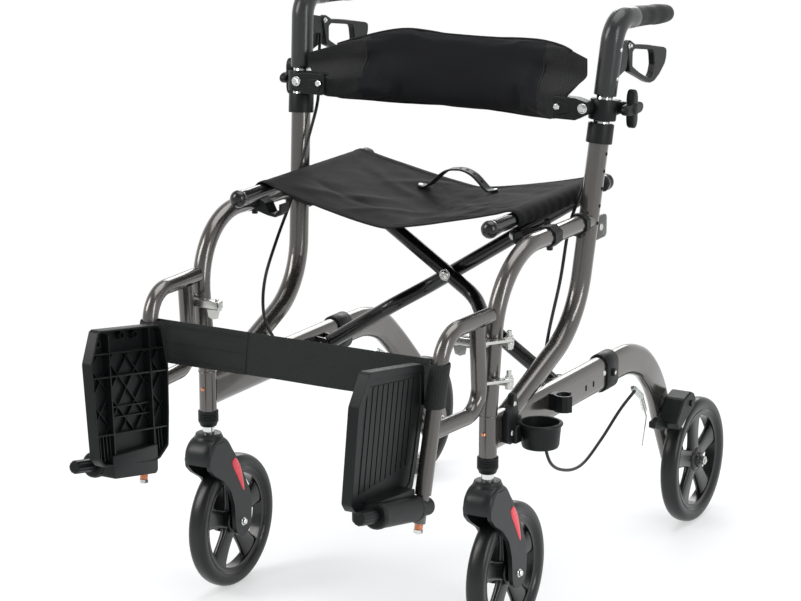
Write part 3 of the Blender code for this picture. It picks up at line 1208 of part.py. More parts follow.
def make_rail_holder(name, y, width):
    """A moulded saddle on the upper frame tube with a hook that reaches in below the seat rail."""
    top_x = front_x(UPPER_TUBE_Z)
    share = y / (upright_y(UPPER_TUBE_Z) - 0.004)
    tube_z = UPPER_TUBE_Z - 0.004 * share
    ring_r = FRONT_TUBE_R + 0.0035
    saddle = [(top_x + ring_r * math.cos(a), tube_z + ring_r * math.sin(a))
              for a in np.radians(np.arange(-75, 226, 50))]
    hook_x, hook_z = RAIL_X + 0.0015, tube_z - 0.004
    hook_r = 0.0165
    hook = [(hook_x + hook_r * math.cos(a), hook_z + hook_r * math.sin(a))
            for a in np.radians([300, 255, 210, 160])]
    inner_r = 0.0118
    back = [(hook_x + inner_r * math.cos(a), hook_z + inner_r * math.sin(a))
            for a in np.radians([160, 205, 250, 300])]
    outline = hook + back + [(hook_x + inner_r + 0.001, hook_z + 0.0035),
                             (top_x - ring_r * 0.94, tube_z + ring_r * 0.35)]
    body = slab(name, outline + [(top_x, tube_z), (top_x - ring_r * 0.6, tube_z - ring_r * 0.80)], "XZ", y,
                width)
    shell = slab("saddle", saddle, "XZ", y, width)
    body = join(shell, body)
    screw = bar("screw", (top_x, y, tube_z - FRONT_TUBE_R - 0.0075), (top_x, y, tube_z), 0.0045, 6)
    body = join(body, screw)
    clear = bar("tube_room", (top_x, y - 0.04, tube_z + 0.0006), (top_x, y + 0.04, tube_z - 0.0006),
                FRONT_TUBE_R + 0.0004, 12)
    return finish(cut(body, clear), name, BLACK_PLASTIC)


# Soft pieces

def seat_height(x, y):
    """Height of the sling: level at the rails, a shallow fold down the middle, soft ripples."""
    u = np.abs(x) / RAIL_X
    v = (y - SEAT_FRONT_Y) / (SEAT_REAR_Y - SEAT_FRONT_Y)
    sag = SEAT_SAG * (1.0 - 0.14 * v) * (1.0 - np.clip(u, 0, 1) ** 1.25)
    ripple = 0.0018 * np.sin(9.0 * v + 2.0 * x / RAIL_X) * (1 - u ** 2).clip(0, 1)
    return RAIL_Z + RAIL_R + 3 * GAP + SEAT_T / 2 - sag + ripple


def make_seat():
    """The nylon sling: a V across the brace, wrapped over both rails to their outer sides."""
    wrap_r = RAIL_R + 3 * GAP + SEAT_T / 2
    flat = np.linspace(-RAIL_X * 0.935, RAIL_X * 0.935, 9)
    angles = np.radians([90, 60, 30, 0, -36])
    rows = []
    for y in np.linspace(SEAT_FRONT_Y, SEAT_REAR_Y, 7):
        left = [(-RAIL_X - wrap_r * math.cos(a), y, RAIL_Z + wrap_r * math.sin(a)) for a in angles[::-1]]
        right = [(RAIL_X + wrap_r * math.cos(a), y, RAIL_Z + wrap_r * math.sin(a)) for a in angles]
        middle = [(x, y, seat_height(x, y)) for x in flat]
        rows.append(left + middle + right)
    return finish(sheet("seat", rows, SEAT_T), "seat_sling", NYLON)


def make_grab_strap():
    """The moulded lifting strap that arches over the middle of the seat."""
    thick = 0.0034
    knots = [(-0.064, 0, 0), (-0.052, 0, 0), (-0.040, 0, 0.009), (-0.018, 0, 0.031), (0.004, 0, 0.037),
             (0.026, 0, 0.027),
             (0.050, 0, 0.0015), (0.064, 0, 0)]
    rows = []
    for x, _, lift in smooth_path(knots, 14):
        middle = GRAB_Y + 0.10 * x
        row = []
        for y in (middle - 0.010, middle + 0.010):
            rest = float(seat_height(x, y)) + SEAT_T / 2 + 2 * GAP + thick / 2
            row.append((x, y, rest + max(0.0, lift)))
        rows.append(row)
    return finish(sheet("grab", rows, thick), "grab_strap", BLACK_PLASTIC)


def make_backrest():
    """The padded band: crowned front and back, drawn in at its edges, bowed to the rear."""
    rings = []
    flat = BACKREST_TAB_X / BACKREST_END_X
    for s in [-1, -flat, -0.86, -0.78, -0.64, -0.48, -0.30, -0.10, 0.10, 0.30, 0.48, 0.64, 0.78, 0.86, flat,
              1]:
        u = abs(s)
        v = min(1.0, u / flat)
        y = BRACKET_Y + BACKREST_BOW * (1 - v ** 2.6)
        z_top = 0.8065 - 0.0260 * max(0.0, (u - 0.45) / 0.55) ** 2
        z_low = 0.6890 + 0.0210 * u ** 2.2
        thick = (BACKREST_T * (1 - v ** 7) + 0.0042) / 2
        mid, half = (z_top + z_low) / 2, (z_top - z_low) / 2
        slope = -BACKREST_BOW * 2.6 * v ** 1.6 * math.copysign(1, s) / BACKREST_TAB_X
        normal = Vector((-slope * (1 - v ** 7), 1, 0)).normalized()
        ring = []
        for a in np.radians(np.arange(0, 360, 30)):
            w = math.copysign(abs(math.cos(a)) ** 0.55, math.cos(a))
            h = math.copysign(abs(math.sin(a)) ** 0.75, math.sin(a))
            x = s * (BACKREST_END_X + BACKREST_FLARE * max(0.0, h) * u ** 4)
            ring.append(Vector((x, y, mid + half * h)) + normal * (thick * w))
        rings.append(ring)
    band = loft("backrest", rings, strips=True)
    for side in (-1, 1):
        x = side * BRACKET_BOLT_X
        band = cut(band, bar("bolt_hole", (x, BRACKET_Y - 0.02, BOLT_Z), (x, BRACKET_Y + 0.02, BOLT_Z),
                             0.0031, 8))
    return finish(band, "backrest_band", NYLON, 60)


def make_calf_strap():
    """The calf band: one layer between the footrests, wrapped round each front tube."""
    rows = []
    for share in (0.0, 1.0):
        z = STRAP_TOP_Z - STRAP_H * share
        x, y = hanger_x(z), hanger_front_y(z)
        r = HANGER_R + STRAP_T / 2 + 0.0012
        wrap = [(x + r * math.cos(a), y + r * math.sin(a))
                for a in np.radians([178, 212, 246, 280, 314, 348, 22, 56, 90])]
        web = y + r
        back = web - STRAP_T - 0.0008
        path = [(x - 0.040, back), (x - 0.021, back - 0.0004)] + wrap
        path += [(0.10, web), (0.0, web - 0.0015), (-0.10, web)] + [(-px, py) for px, py in wrap[::-1]]
        path += [(-(x - 0.021), back - 0.0004), (-0.140, back), (-0.075, back)]
        rows.append([(px, py, z) for px, py in path])
    strap = sheet("strap", rows, STRAP_T)
    return finish(strap, "calf_strap", STRAP, 60)


# Cup holder and cane clip, on one side only

def make_cup_holder():
    """An open cup ring with a floor, a rolled rim and a winged bracket on the frame."""
    x, y = CUP_CENTRE
    wall = 0.0026
    low = CUP_TOP_Z - CUP_DEPTH
    profile = [(CUP_R - wall, CUP_TOP_Z), (CUP_R + 0.0022, CUP_TOP_Z), (CUP_R + CUP_RIM, CUP_TOP_Z - 0.0026),
               (CUP_R, CUP_TOP_Z - 0.0045),
               (CUP_R - 0.0025, low + 0.004), (CUP_R - 0.0055, low), (0, low), (0, low + wall),
               (CUP_R - 0.0055 - wall, low + wall + 0.002)]
    cup = turned("cup", profile, (x, y, 0), (0, 0, 1), steps=16, closed=True)
    face_x = CASTER_X + OVAL_W / 2 + GAP
    wing = [(0.0170, 0.3010), (0.0280, 0.2955), (0.0470, 0.3050), (0.0500, 0.3300), (0.0440, 0.3640),
            (0.0330, 0.3700),
            (0.0300, 0.3500), (0.0170, 0.3440)]
    bracket = slab("wing", wing, "YZ", face_x + 0.0045, 0.009)
    arm = block("arm", (face_x + 0.001, 0.0330, 0.2960), (face_x + 0.014, 0.0490, 0.3200))
    cup = join(cup, arm, bracket)
    return finish(cup, "cup_holder", BLACK_PLASTIC)


def make_cane_clip():
    """The spring clip on the lower tube that grips a cane: an open ring on a foot."""
    x, y, z = CASTER_X + OVAL_W / 2 + GAP + 0.0195, 0.1700, 0.3220
    outer, inner = 0.0150, 0.0118
    turn = np.radians(np.linspace(75, 345, 10))
    outline = [(x + outer * math.cos(a), y + outer * math.sin(a)) for a in turn]
    outline += [(x + inner * math.cos(a), y + inner * math.sin(a)) for a in turn[::-1]]
    clip = slab("clip", outline, "XY", z, 0.024)
    foot = block("foot", (CASTER_X + OVAL_W / 2 + GAP, y - 0.008, z - 0.012),
                 (x - inner - 0.0004, y + 0.008, z + 0.012))
    return finish(join(clip, foot), "cane_clip", BLACK_PLASTIC)


# Assembly

def build_pieces():
    """Make every piece and return its objects by name."""
    right = [
        make_wheel("front_wheel_right", CASTER_X, CASTER_TRAIL),
        make_wheel("rear_wheel_right", REAR_WHEEL_X, REAR_AXLE_Y),
        make_fork(), make_stem(), make_stem_collar(), make_button(), make_rear_leg(), make_leg_collar(),
        make_brake_housing(), make_brake_arm(), make_handle(), make_height_collar(), make_lever(),
        make_clamp(), make_knob(), make_bracket(), make_hanger(), make_latch(), make_footplate(),
        make_footplate_stem(),
        make_rail_holder("rail_holder_front_right", 0.155, 0.022),
        make_rail_holder("rail_holder_rear_right", 0.250, 0.012),
    ]
    pieces = {piece.name: piece for piece in right}
    for piece in right:
        name = piece.name.replace("_right", "_left")
        pieces[name] = mirror_twin(piece, name)
    pieces["side_frame_right"] = make_side_frame("side_frame_right", CROSS_FRONT_LOW_Y,
                                                 link_front(CROSS_REAR_Y))
    pieces["brake_cable_right"] = make_cable("brake_cable_right", CABLE_NEAR)
    far_frame = make_side_frame("far_frame", CROSS_REAR_LOW_Y, link_front(CROSS_FRONT_Y))
    far_cable = make_cable("far_cable", CABLE_FAR)
    for piece, name in ((far_frame, "side_frame_left"), (far_cable, "brake_cable_left")):
        pieces[name] = mirror_twin(piece, name)
        bpy.data.objects.remove(piece, do_unlink=True)
    single = [
        make_cross("cross_tube_front", True), make_cross("cross_tube_rear", False),
        make_link("cross_link_right", 1),
        make_link("cross_link_left", -1), make_rail("seat_rail_right", 1), make_rail("seat_rail_left", -1),
        make_seat(),
        make_grab_strap(), make_backrest(), make_calf_strap(), make_cup_holder(), make_cane_clip(),
    ]
    pieces.update({piece.name: piece for piece in single})
    return pieces


def joint_places():
    """Each moving body's parent body, the point its joint turns about, and its pieces."""
    latch = (LATCH_X, LATCH_Y, UPPER_PIN_Z)
    bolt = along_cross(-LINK_S, -1)
    per_side = {
        "caster": ("frame", (CASTER_X, 0, FORK_TOP_Z), ["caster_fork", "caster_stem"]),
        "front_wheel_body": ("caster", (CASTER_X, CASTER_TRAIL, WHEEL_R), ["front_wheel"]),
        "button_body": ("frame", (CASTER_X, -FRONT_TUBE_R, COLLAR_TOP_Z + 0.0345), ["spring_button"]),
        "leg": ("frame", (CASTER_X, OVAL_END_Y, OVAL_Z), ["rear_leg", "brake_housing"]),
        "rear_wheel_body": ("leg", (REAR_WHEEL_X, REAR_AXLE_Y, WHEEL_R), ["rear_wheel"]),
        "shoe_body": ("leg", (BRAKE_X, REAR_AXLE_Y - BRAKE_PIN_BACK, BRAKE_PIN_Z), ["brake_shoe"]),
        "handle_body": ("frame", tuple(on_upright(HEIGHT_COLLAR_TOP)), ["handle", "backrest_clamp"]),
        "lever_body": ("handle_body", (rear_x(0.80), LEVER_PIVOT_Y, LEVER_PIVOT_Z), ["brake_lever"]),
        "knob_body": ("handle_body", (KNOB_START_X, KNOB_Y, CLAMP_Z), ["clamp_knob"]),
        "bracket_body": ("handle_body", (BOLT_X, BRACKET_Y, BOLT_Z), ["backrest_bracket"]),
        "hanger_body": ("frame", (HINGE_PIN_X, 0, UPPER_PIN_Z), ["footrest_hanger"]),
        "latch_body": ("hanger_body", latch, ["hanger_latch"]),
        "stem_body": ("hanger_body", (hanger_x(HANGER_END_Z), hanger_front_y(HANGER_END_Z), HANGER_END_Z),
                      ["footplate_stem"]),
        "plate_body": ("stem_body", tuple(barrel_point(BARREL_REAR_Y)), ["footplate"]),
    }
    fixed = ["side_frame", "stem_collar", "leg_collar", "height_collar", "rail_holder_front",
             "rail_holder_rear", "brake_cable"]
    places = {
        "frame_right": (None, (0, 0, 0), [n + "_right" for n in fixed] + ["cup_holder", "cane_clip"]),
        "cross_front": ("frame_right", (RAIL_X, CROSS_FRONT_LOW_Y, PIVOT_Z),
                        ["cross_tube_front", "seat_rail_left"]),
        "cross_rear": ("cross_front", (0, CROSS_FRONT_Y, CENTRE_Z), ["cross_tube_rear", "seat_rail_right"]),
        "frame_left": ("cross_rear", (-RAIL_X, CROSS_REAR_LOW_Y, PIVOT_Z), [n + "_left" for n in fixed]),
        "link_right": ("cross_rear", (bolt[0], CROSS_REAR_Y, bolt[1]), ["cross_link_right"]),
        "link_left": ("cross_front", (-bolt[0], CROSS_FRONT_Y, bolt[1]), ["cross_link_left"]),
        "seat_body": ("cross_front", (-RAIL_X, 0.2, RAIL_Z), ["seat_sling"]),
        "grab_body": ("seat_body", (0, GRAB_Y, RAIL_Z), ["grab_strap"]),
    }
    for side, sign in (("right", 1), ("left", -1)):
        for body, (parent, at, pieces) in per_side.items():
            places[f"{body}_{side}"] = (f"{parent}_{side}", (sign * at[0], at[1], at[2]),
                                        [f"{n}_{side}" for n in pieces])
    places["bracket_body_right"][2].append("backrest_band")
    places["hanger_body_right"][2].append("calf_strap")
    return places


def assemble(pieces):
    """Hang the pieces on an empty at each joint, and set the origin between the front and the rear."""
    base = bpy.data.objects.new("rollator_base", None)
    base.location = (-FRAME_CENTRE_X, -FRAME_CENTRE_Y, 0)
    PARTS.objects.link(base)
    empties = {None: (base, Vector((0, 0, 0)))}
    for body, (parent, at, names) in joint_places().items():
        holder, origin = empties[parent]
        empty = bpy.data.objects.new(body + "_joint", None)
        empty.empty_display_size = 0.02
        empty.parent = holder
        empty.location = Vector(at) - origin
        PARTS.objects.link(empty)
        empties[body] = (empty, Vector(at))
        for name in names:
            pieces[name].parent = empty
            pieces[name].location = -Vector(at)


assemble(build_pieces())
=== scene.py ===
"""Looks of the folding rollator.

Metres, +Z up. Shapes are worked out in the part's design frame, whose X = 0 is the middle
plane, Y = 0 the caster stems and Z = 0 the floor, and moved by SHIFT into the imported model.
"""
import math

import bmesh
import bpy
import numpy as np
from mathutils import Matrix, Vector


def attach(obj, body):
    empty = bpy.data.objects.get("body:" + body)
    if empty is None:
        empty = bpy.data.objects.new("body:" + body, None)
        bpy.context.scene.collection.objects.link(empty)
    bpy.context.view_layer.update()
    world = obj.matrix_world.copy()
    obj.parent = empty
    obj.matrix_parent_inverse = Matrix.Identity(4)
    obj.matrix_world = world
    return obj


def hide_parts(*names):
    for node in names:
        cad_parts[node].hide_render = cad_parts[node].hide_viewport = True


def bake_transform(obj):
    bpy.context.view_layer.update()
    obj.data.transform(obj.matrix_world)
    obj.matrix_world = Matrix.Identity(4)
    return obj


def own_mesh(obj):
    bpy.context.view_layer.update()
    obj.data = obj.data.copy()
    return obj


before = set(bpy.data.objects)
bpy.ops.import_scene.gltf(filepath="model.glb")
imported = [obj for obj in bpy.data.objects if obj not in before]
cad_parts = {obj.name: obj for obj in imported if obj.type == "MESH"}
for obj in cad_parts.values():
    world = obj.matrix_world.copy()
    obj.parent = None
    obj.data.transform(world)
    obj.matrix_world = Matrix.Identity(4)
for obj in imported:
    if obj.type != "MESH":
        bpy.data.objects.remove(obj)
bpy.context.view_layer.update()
SHIFT = np.array((-0.00655, -0.214, 0.0))

# Places and sizes that the source of the part also uses
WHEEL_R = 0.100
CASTER_X = 0.229
CASTER_TRAIL = 0.057
REAR_WHEEL_X = 0.248
REAR_AXLE_Y = 0.668
FRONT_TUBE_R = 0.0127
UPRIGHT_R = 0.0145
CASING_R = 0.0165
OVAL_W = 0.026
OVAL_H = 0.052
OVAL_Z = 0.3155
RAIL_X = 0.2035
RAIL_Z = 0.590
RAIL_R = 0.0105
HANGER_R = 0.0111
BOLT_X = 0.2369
BOLT_Z = 0.7263
BRACKET_Y = 0.2745
CLAMP_Z = 0.7205
CASING_BOTTOM_Z = 0.7405
PIVOT_Z = 0.318
CROSS_R = 0.011
TOP_HOLE_Z = 0.6588
HOLE_PITCH = 0.025
LEVER_PIN = (0.3717, 0.8036)
KNOB_Y = 0.330
LINK_PIN = 0.1228
SEAT_FRONT, SEAT_REAR = 0.112, 0.405
ARM_LEVELS = (0.4535, 0.3975)
ARM_PIN_X = 0.2605
BARREL_X = 0.2213
BARREL_Z = 0.2605
BARREL_SLOPE = 0.1914
BAND_BOW = 0.080
BAND_SEAM_X = 0.148


def front_x(z):
    """The front tube's X at a height: upright below, leaning outwards above."""
    return CASTER_X + 0.062 * max(0.0, z - 0.34)


def rear_x(z):
    """The rear upright's X at a height."""
    return CASTER_X + 0.0005 + 0.0575 * (z - 0.3415)


def on_upright(z):
    """The centre of the rear upright at a height."""
    return np.array((rear_x(z), 0.2773 + 0.1444 * (z - 0.5348), z))


def unit(v):
    """The vectors brought to length 1."""
    v = np.asarray(v, float)
    return v / np.linalg.norm(v, axis=-1, keepdims=True)


def hanger_at(z):
    """Centre of the footrest tube's front leg."""
    return np.array((front_x(0.488) - 0.006 - 0.048 * (0.488 - z), -0.133 - 0.181 * (0.488 - z), z))


UPRIGHT_WAY = unit(on_upright(0.692) - on_upright(0.5348))
CROSS_RISE = (RAIL_Z - RAIL_R - PIVOT_Z) / 2 + 0.0012
CROSS_ANGLE = math.atan2(CROSS_RISE, RAIL_X)
CENTRE_Z = PIVOT_Z + CROSS_RISE


# Surfaces

def bent(corners, radii, step=4.0):
    """Straight runs between corners; each inner corner becomes an arc of its radius, tangent to
    both runs."""
    corners = [np.array(c, float) for c in corners]
    points = [corners[0][None]]
    for before, corner, after, radius in zip(corners, corners[1:], corners[2:], radii):
        back, ahead = unit(before - corner), unit(after - corner)
        half = math.acos(float(np.clip(back @ ahead, -1, 1))) / 2
        turn = math.pi - 2 * half
        a = np.linspace(0, turn, max(3, math.ceil(math.degrees(turn) / step)))[:, None]
        start = corner + back * radius / math.tan(half)
        centre = corner + unit(back + ahead) * radius / math.sin(half)
        points.append(centre + (start - centre) * np.cos(a) - back * radius * np.sin(a))
    points.append(corners[-1][None])
    return np.concatenate(points)


def smooth(knots, count):
    """A smooth curve through the knots: on each span a cubic whose slopes come from the neighbours."""
    p = np.array(knots, float)
    p = np.vstack([2 * p[0] - p[1], p, 2 * p[-1] - p[-2]])
    t = np.linspace(0, len(knots) - 1, count)
    i = np.minimum(t.astype(int), len(knots) - 2)
    u = (t - i)[:, None]
    a, b, c, d = p[i], p[i + 1], p[i + 2], p[i + 3]
    return 0.5 * (2 * b + (c - a) * u + (2 * a - 5 * b + 4 * c - d) * u ** 2
                  + (3 * b - a - 3 * c + d) * u ** 3)


def arc_length(points):
    """The distance along a path at each of its points, from its start."""
    steps = np.linalg.norm(np.diff(points, axis=0), axis=1)
    return np.concatenate([[0.0], np.cumsum(steps)])


def circle(radius, sides=28):
    """A round section: points of a circle about the origin."""
    a = np.linspace(0, 2 * np.pi, sides, endpoint=False)
    return np.stack([radius * np.cos(a), radius * np.sin(a)], axis=1)


def stadium(width, height, steps=12):
    """A flat-sided oval: two half circles joined by straight sides."""
    r = width / 2
    a = np.linspace(0, np.pi, steps)
    top = np.stack([r * np.cos(a), height / 2 - r + r * np.sin(a)], axis=1)
    return np.vstack([top, -top])


def swept(path, section, across=(1, 0, 0), size=None):
    """A section carried along a path: point = path + u * side + v * (way x side), scaled by size.
    The side is the across direction made square to the path."""
    path = np.asarray(path, float)
    way = unit(np.gradient(path, axis=0))
    side = np.array(across, float) - way * (way @ np.array(across, float))[:, None]
    side = unit(side)
    up = np.cross(way, side)
    size = np.ones(len(path)) if size is None else np.asarray(size, float)
    u = section[None, :, 0, None] * size[:, None, None]
    v = section[None, :, 1, None] * size[:, None, None]
    return path[:, None] + u * side[:, None] + v * up[:, None]


def rounded_ends(path, radius, lip):
    """A path with extra stations at both ends and their sizes, so that its ends turn over a small lip."""
    length = arc_length(path)
    stations = np.concatenate([lip * (1 - np.cos(np.linspace(0, np.pi / 2, 4))),
                               length[(length > lip * 1.2) & (length < length[-1] - lip * 1.2)],
                               length[-1] - lip * (1 - np.cos(np.linspace(np.pi / 2, 0, 4)))])
    points = np.stack([np.interp(stations, length, path[:, k]) for k in range(3)], axis=1)
    edge = np.minimum(stations, length[-1] - stations)
    size = 1 - lip / radius * (1 - np.sqrt(np.clip(1 - (1 - np.clip(edge / lip, 0, 1)) ** 2, 0, 1)))
    return points, size


def turned(profile, at, axis, steps=40):
    """A profile of (radius, height) pairs turned round an axis through a point."""
    axis = unit(axis)
    side = unit(np.cross(axis, (0.3, 0.9, 0.31)))
    other = np.cross(axis, side)
    a = np.linspace(0, 2 * np.pi, steps, endpoint=False)
    ring = np.cos(a)[:, None] * side + np.sin(a)[:, None] * other
    r, h = np.array(profile, float).T
    return np.array(at, float) + r[:, None, None] * ring[None] + h[:, None, None] * axis


def rounded_outline(corners, radii, steps=6):
    """A closed flat outline whose corners become arcs of the given radii."""
    made = []
    for i, radius in enumerate(radii):
        corner = np.array(corners[i], float)
        before, after = np.array(corners[i - 1], float), np.array(corners[(i + 1) % len(corners)], float)
        if radius <= 0:
            made.append(corner[None])
            continue
        arc = bent([(*before, 0), (*corner, 0), (*after, 0)], (radius,), 90 / steps)[1:-1]
        made.append(arc[:, :2])
    return np.concatenate(made)


def into_plane(flat, plane, depth):
    """Flat points set in a world plane at a depth: YZ, XZ or XY."""
    flat = np.asarray(flat, float)
    fill = np.full(len(flat), depth)
    order = {"YZ": (fill, flat[:, 0], flat[:, 1]), "XZ": (flat[:, 0], fill, flat[:, 1]),
             "XY": (flat[:, 0], flat[:, 1], fill)}
    return np.stack(order[plane], axis=1)


def plate(outline, plane, low, high):
    """A flat outline given a thickness between two depths."""
    return np.stack([into_plane(outline, plane, low), into_plane(outline, plane, high)])


class Shape:
    """Surface grids gathered into one mesh."""

    def __init__(self):
        self.points, self.faces, self.maps, self.slots, self.count = [], [], [], [], 0

    def add(self, grid, around=True, along=False, caps=True, slot=0, flat_map=None):
        """Joins a grid of points (stations, around): faces between neighbours, closed where asked,
        ends capped."""
        n, m = grid.shape[:2]
        index = np.arange(n * m).reshape(n, m) + self.count
        if around:
            index = np.hstack([index, index[:, :1]])
        if along:
            index = np.vstack([index, index[:1]])
        quads = np.stack([index[:-1, :-1], index[:-1, 1:], index[1:, 1:], index[1:, :-1]], axis=-1)
        rows, cols = quads.shape[:2]
        if flat_map is None:
            closed = np.concatenate([grid, grid[:1]]) if along else grid
            wrapped = np.concatenate([closed, closed[:, :1]], axis=1) if around else closed
            u = np.concatenate([[0], np.cumsum(np.linalg.norm(np.diff(wrapped, axis=0),
                                                              axis=2).mean(axis=1))])
            v = np.concatenate([[0], np.cumsum(np.linalg.norm(np.diff(wrapped, axis=1),
                                                              axis=2).mean(axis=0))])
            flat_map = np.stack(np.meshgrid(u, v, indexing="ij"), axis=-1)
        corner = np.stack([flat_map[:rows, :cols], flat_map[:rows, 1:cols + 1],
                           flat_map[1:rows + 1, 1:cols + 1],
                           flat_map[1:rows + 1, :cols]], axis=2)
        self.points.append(grid.reshape(-1, 3))
        self.faces += quads.reshape(-1, 4).tolist()
        self.maps.append(corner.reshape(-1, 2))
        self.slots += [slot] * (rows * cols)
        if caps and around and not along:
            for ring, turn in ((index[0, :-1], -1), (index[-1, :-1], 1)):
                self.faces.append(ring[::turn].tolist())
                self.maps.append(np.zeros((m, 2)))
                self.slots.append(slot)
        self.count += n * m
        return self

    def mirrored(self):
        """The same shape on the other side of the middle plane."""
        twin = Shape()
        twin.points = [p * (-1, 1, 1) for p in self.points]
        twin.faces = [face[::-1] for face in self.faces]
        ends = np.cumsum([len(face) for face in self.faces])
        every = np.concatenate(self.maps)
        twin.maps = [part[::-1] for part in np.split(every, ends[:-1])]
        twin.slots, twin.count = list(self.slots), self.count
        return twin


def put(name, shape, materials, body, bevel=0.0, segments=3, smooth_angle=35.0, replaces=()):
    """Makes the piece's mesh, gives it its materials and edges, and hangs it on its body."""
    mesh = bpy.data.meshes.new(name)
    mesh.from_pydata((np.concatenate(shape.points) + SHIFT).tolist(), [], shape.faces)
    layer = mesh.uv_layers.new(name="cloth")
    layer.data.foreach_set("uv", np.concatenate(shape.maps).astype(np.float32).ravel())
    materials = materials if isinstance(materials, (list, tuple)) else [materials]
    for material in materials:
        mesh.materials.append(material)
    mesh.polygons.foreach_set("material_index", np.array(shape.slots, np.int32))
    bm = bmesh.new()
    bm.from_mesh(mesh)
    bmesh.ops.remove_doubles(bm, verts=bm.verts, dist=0.000002)
    bmesh.ops.recalc_face_normals(bm, faces=bm.faces)
    bm.to_mesh(mesh)
    bm.free()
    mesh.shade_smooth()
    mesh.set_sharp_from_angle(angle=math.radians(smooth_angle))
    made = bpy.data.objects.new(name, mesh)
    bpy.context.scene.collection.objects.link(made)
    if bevel:
        edge = made.modifiers.new("edges", "BEVEL")
        edge.width = bevel
        edge.segments = segments
        edge.limit_method = "ANGLE"
        edge.angle_limit = math.radians(34)
        edge.harden_normals = True
    if replaces:
        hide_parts(*([replaces] if isinstance(replaces, str) else replaces))
    if body:
        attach(made, body)
    return made


def both(name, shape, materials, body, replaces=(), **more):
    """A right-hand piece and its mirror twin, each on its own side's body."""
    for side, made in (("right", shape), ("left", shape.mirrored())):
        stands_for = [node + "_" + side for node in ([replaces] if isinstance(replaces, str) else replaces)]
        put(name + "_" + side, made, materials, body + "_" + side, replaces=stands_for, **more)


def bolt(shape, at, axis, radius, height, sides=6, slot=0):
    """A bolt head with a softened rim; six sides make it a hexagon."""
    edge = radius * 0.14
    profile = [(radius, 0), (radius, height - edge), (radius - edge, height), (0.0, height)]
    return shape.add(turned(profile, at, axis, sides), caps=False, slot=slot)


def dome(shape, at, axis, radius, height, slot=0, steps=24):
    """A rounded screw head: a quarter ellipse turned round its axis."""
    a = np.linspace(0, np.pi / 2, 8)
    return shape.add(turned(np.stack([radius * np.cos(a), height * np.sin(a)], axis=1), at, axis, steps),
                     caps=False, slot=slot)


def bar(shape, start, end, radius, steps=28, lip=0.0006, slot=0):
    """A round bar between two points with softened ends."""
    start, end = np.array(start, float), np.array(end, float)
    length = float(np.linalg.norm(end - start))
    profile = [(0, 0), (radius - lip, 0), (radius, lip), (radius, length - lip), (radius - lip, length),
               (0, length)]
    return shape.add(turned(profile, start, end - start, steps), caps=False, slot=slot)


# Material effects that several finishes share

def effect(name, inputs, outputs):
    """An empty node group with named sockets: (name, socket type, default)."""
    group = bpy.data.node_groups.new(name, "ShaderNodeTree")
    for label, kind, default in inputs:
        socket = group.interface.new_socket(name=label, in_out="INPUT", socket_type=kind)
        if default is not None:
            socket.default_value = default
    for label, kind in outputs:
        group.interface.new_socket(name=label, in_out="OUTPUT", socket_type=kind)
    return group, group.nodes.new("NodeGroupInput"), group.nodes.new("NodeGroupOutput")


def node(tree, kind, inputs=None, **settings):
    """A node with its settings, and its inputs set or linked by name or number."""
    made = tree.nodes.new(kind)
    for key, value in settings.items():
        setattr(made, key, value)
    for key, value in (inputs or {}).items():
        if isinstance(value, bpy.types.NodeSocket):
            tree.links.new(value, made.inputs[key])
        else:
            made.inputs[key].default_value = value
    return made


def maths(tree, operation, *values):
    """The output of a maths node, its inputs set or linked in order."""
    made = node(tree, "ShaderNodeMath", operation=operation)
    for i, value in enumerate(values):
        if isinstance(value, bpy.types.NodeSocket):
            tree.links.new(value, made.inputs[i])
        else:
            made.inputs[i].default_value = value
    return made.outputs[0]


def make_handled_surface():
    """Broad shade changes, small scuffs in the gloss and fine grain, from noise at three sizes."""
    group, ins, outs = effect("handled_surface", [
        ("Place", "NodeSocketVector", None), ("Colour", "NodeSocketColor", (0.5, 0.5, 0.5, 1)),
        ("Shade Spread", "NodeSocketFloat", 0.1),
        ("Roughness", "NodeSocketFloat", 0.4), ("Rub", "NodeSocketFloat", 0.1),
        ("Grains per Metre", "NodeSocketFloat", 1500.0)],
        [("Colour", "NodeSocketColor"), ("Roughness", "NodeSocketFloat"), ("Height", "NodeSocketFloat")])
    broad = node(group, "ShaderNodeTexNoise", {"Vector": ins.outputs["Place"], "Scale": 9.0, "Detail": 3.0})
    small = node(group, "ShaderNodeTexNoise", {"Vector": ins.outputs["Place"], "Scale": 130.0, "Detail": 4.0,
                                               "Roughness": 0.6})
    fine = node(group, "ShaderNodeTexNoise", {"Vector": ins.outputs["Place"],
                                              "Scale": ins.outputs["Grains per Metre"], "Detail": 2.0})
    swing = maths(group, "MULTIPLY", maths(group, "SUBTRACT",
            maths(group, "ADD", maths(group, "MULTIPLY", broad.outputs[0], 0.7),
                  maths(group, "MULTIPLY", small.outputs[0], 0.3)), 0.5), ins.outputs["Shade Spread"])
    bright = maths(group, "ADD", maths(group, "MULTIPLY", swing, 2.0), 1.0)
    tint = node(group, "ShaderNodeVectorMath", {0: ins.outputs["Colour"]}, operation="SCALE")
    group.links.new(bright, tint.inputs["Scale"])
    group.links.new(tint.outputs[0], outs.inputs["Colour"])
    rub = maths(group, "MULTIPLY", maths(group, "SUBTRACT", small.outputs[0], 0.5), ins.outputs["Rub"])
    group.links.new(maths(group, "ADD", ins.outputs["Roughness"], rub), outs.inputs["Roughness"])
    group.links.new(fine.outputs[0], outs.inputs["Height"])
    return group


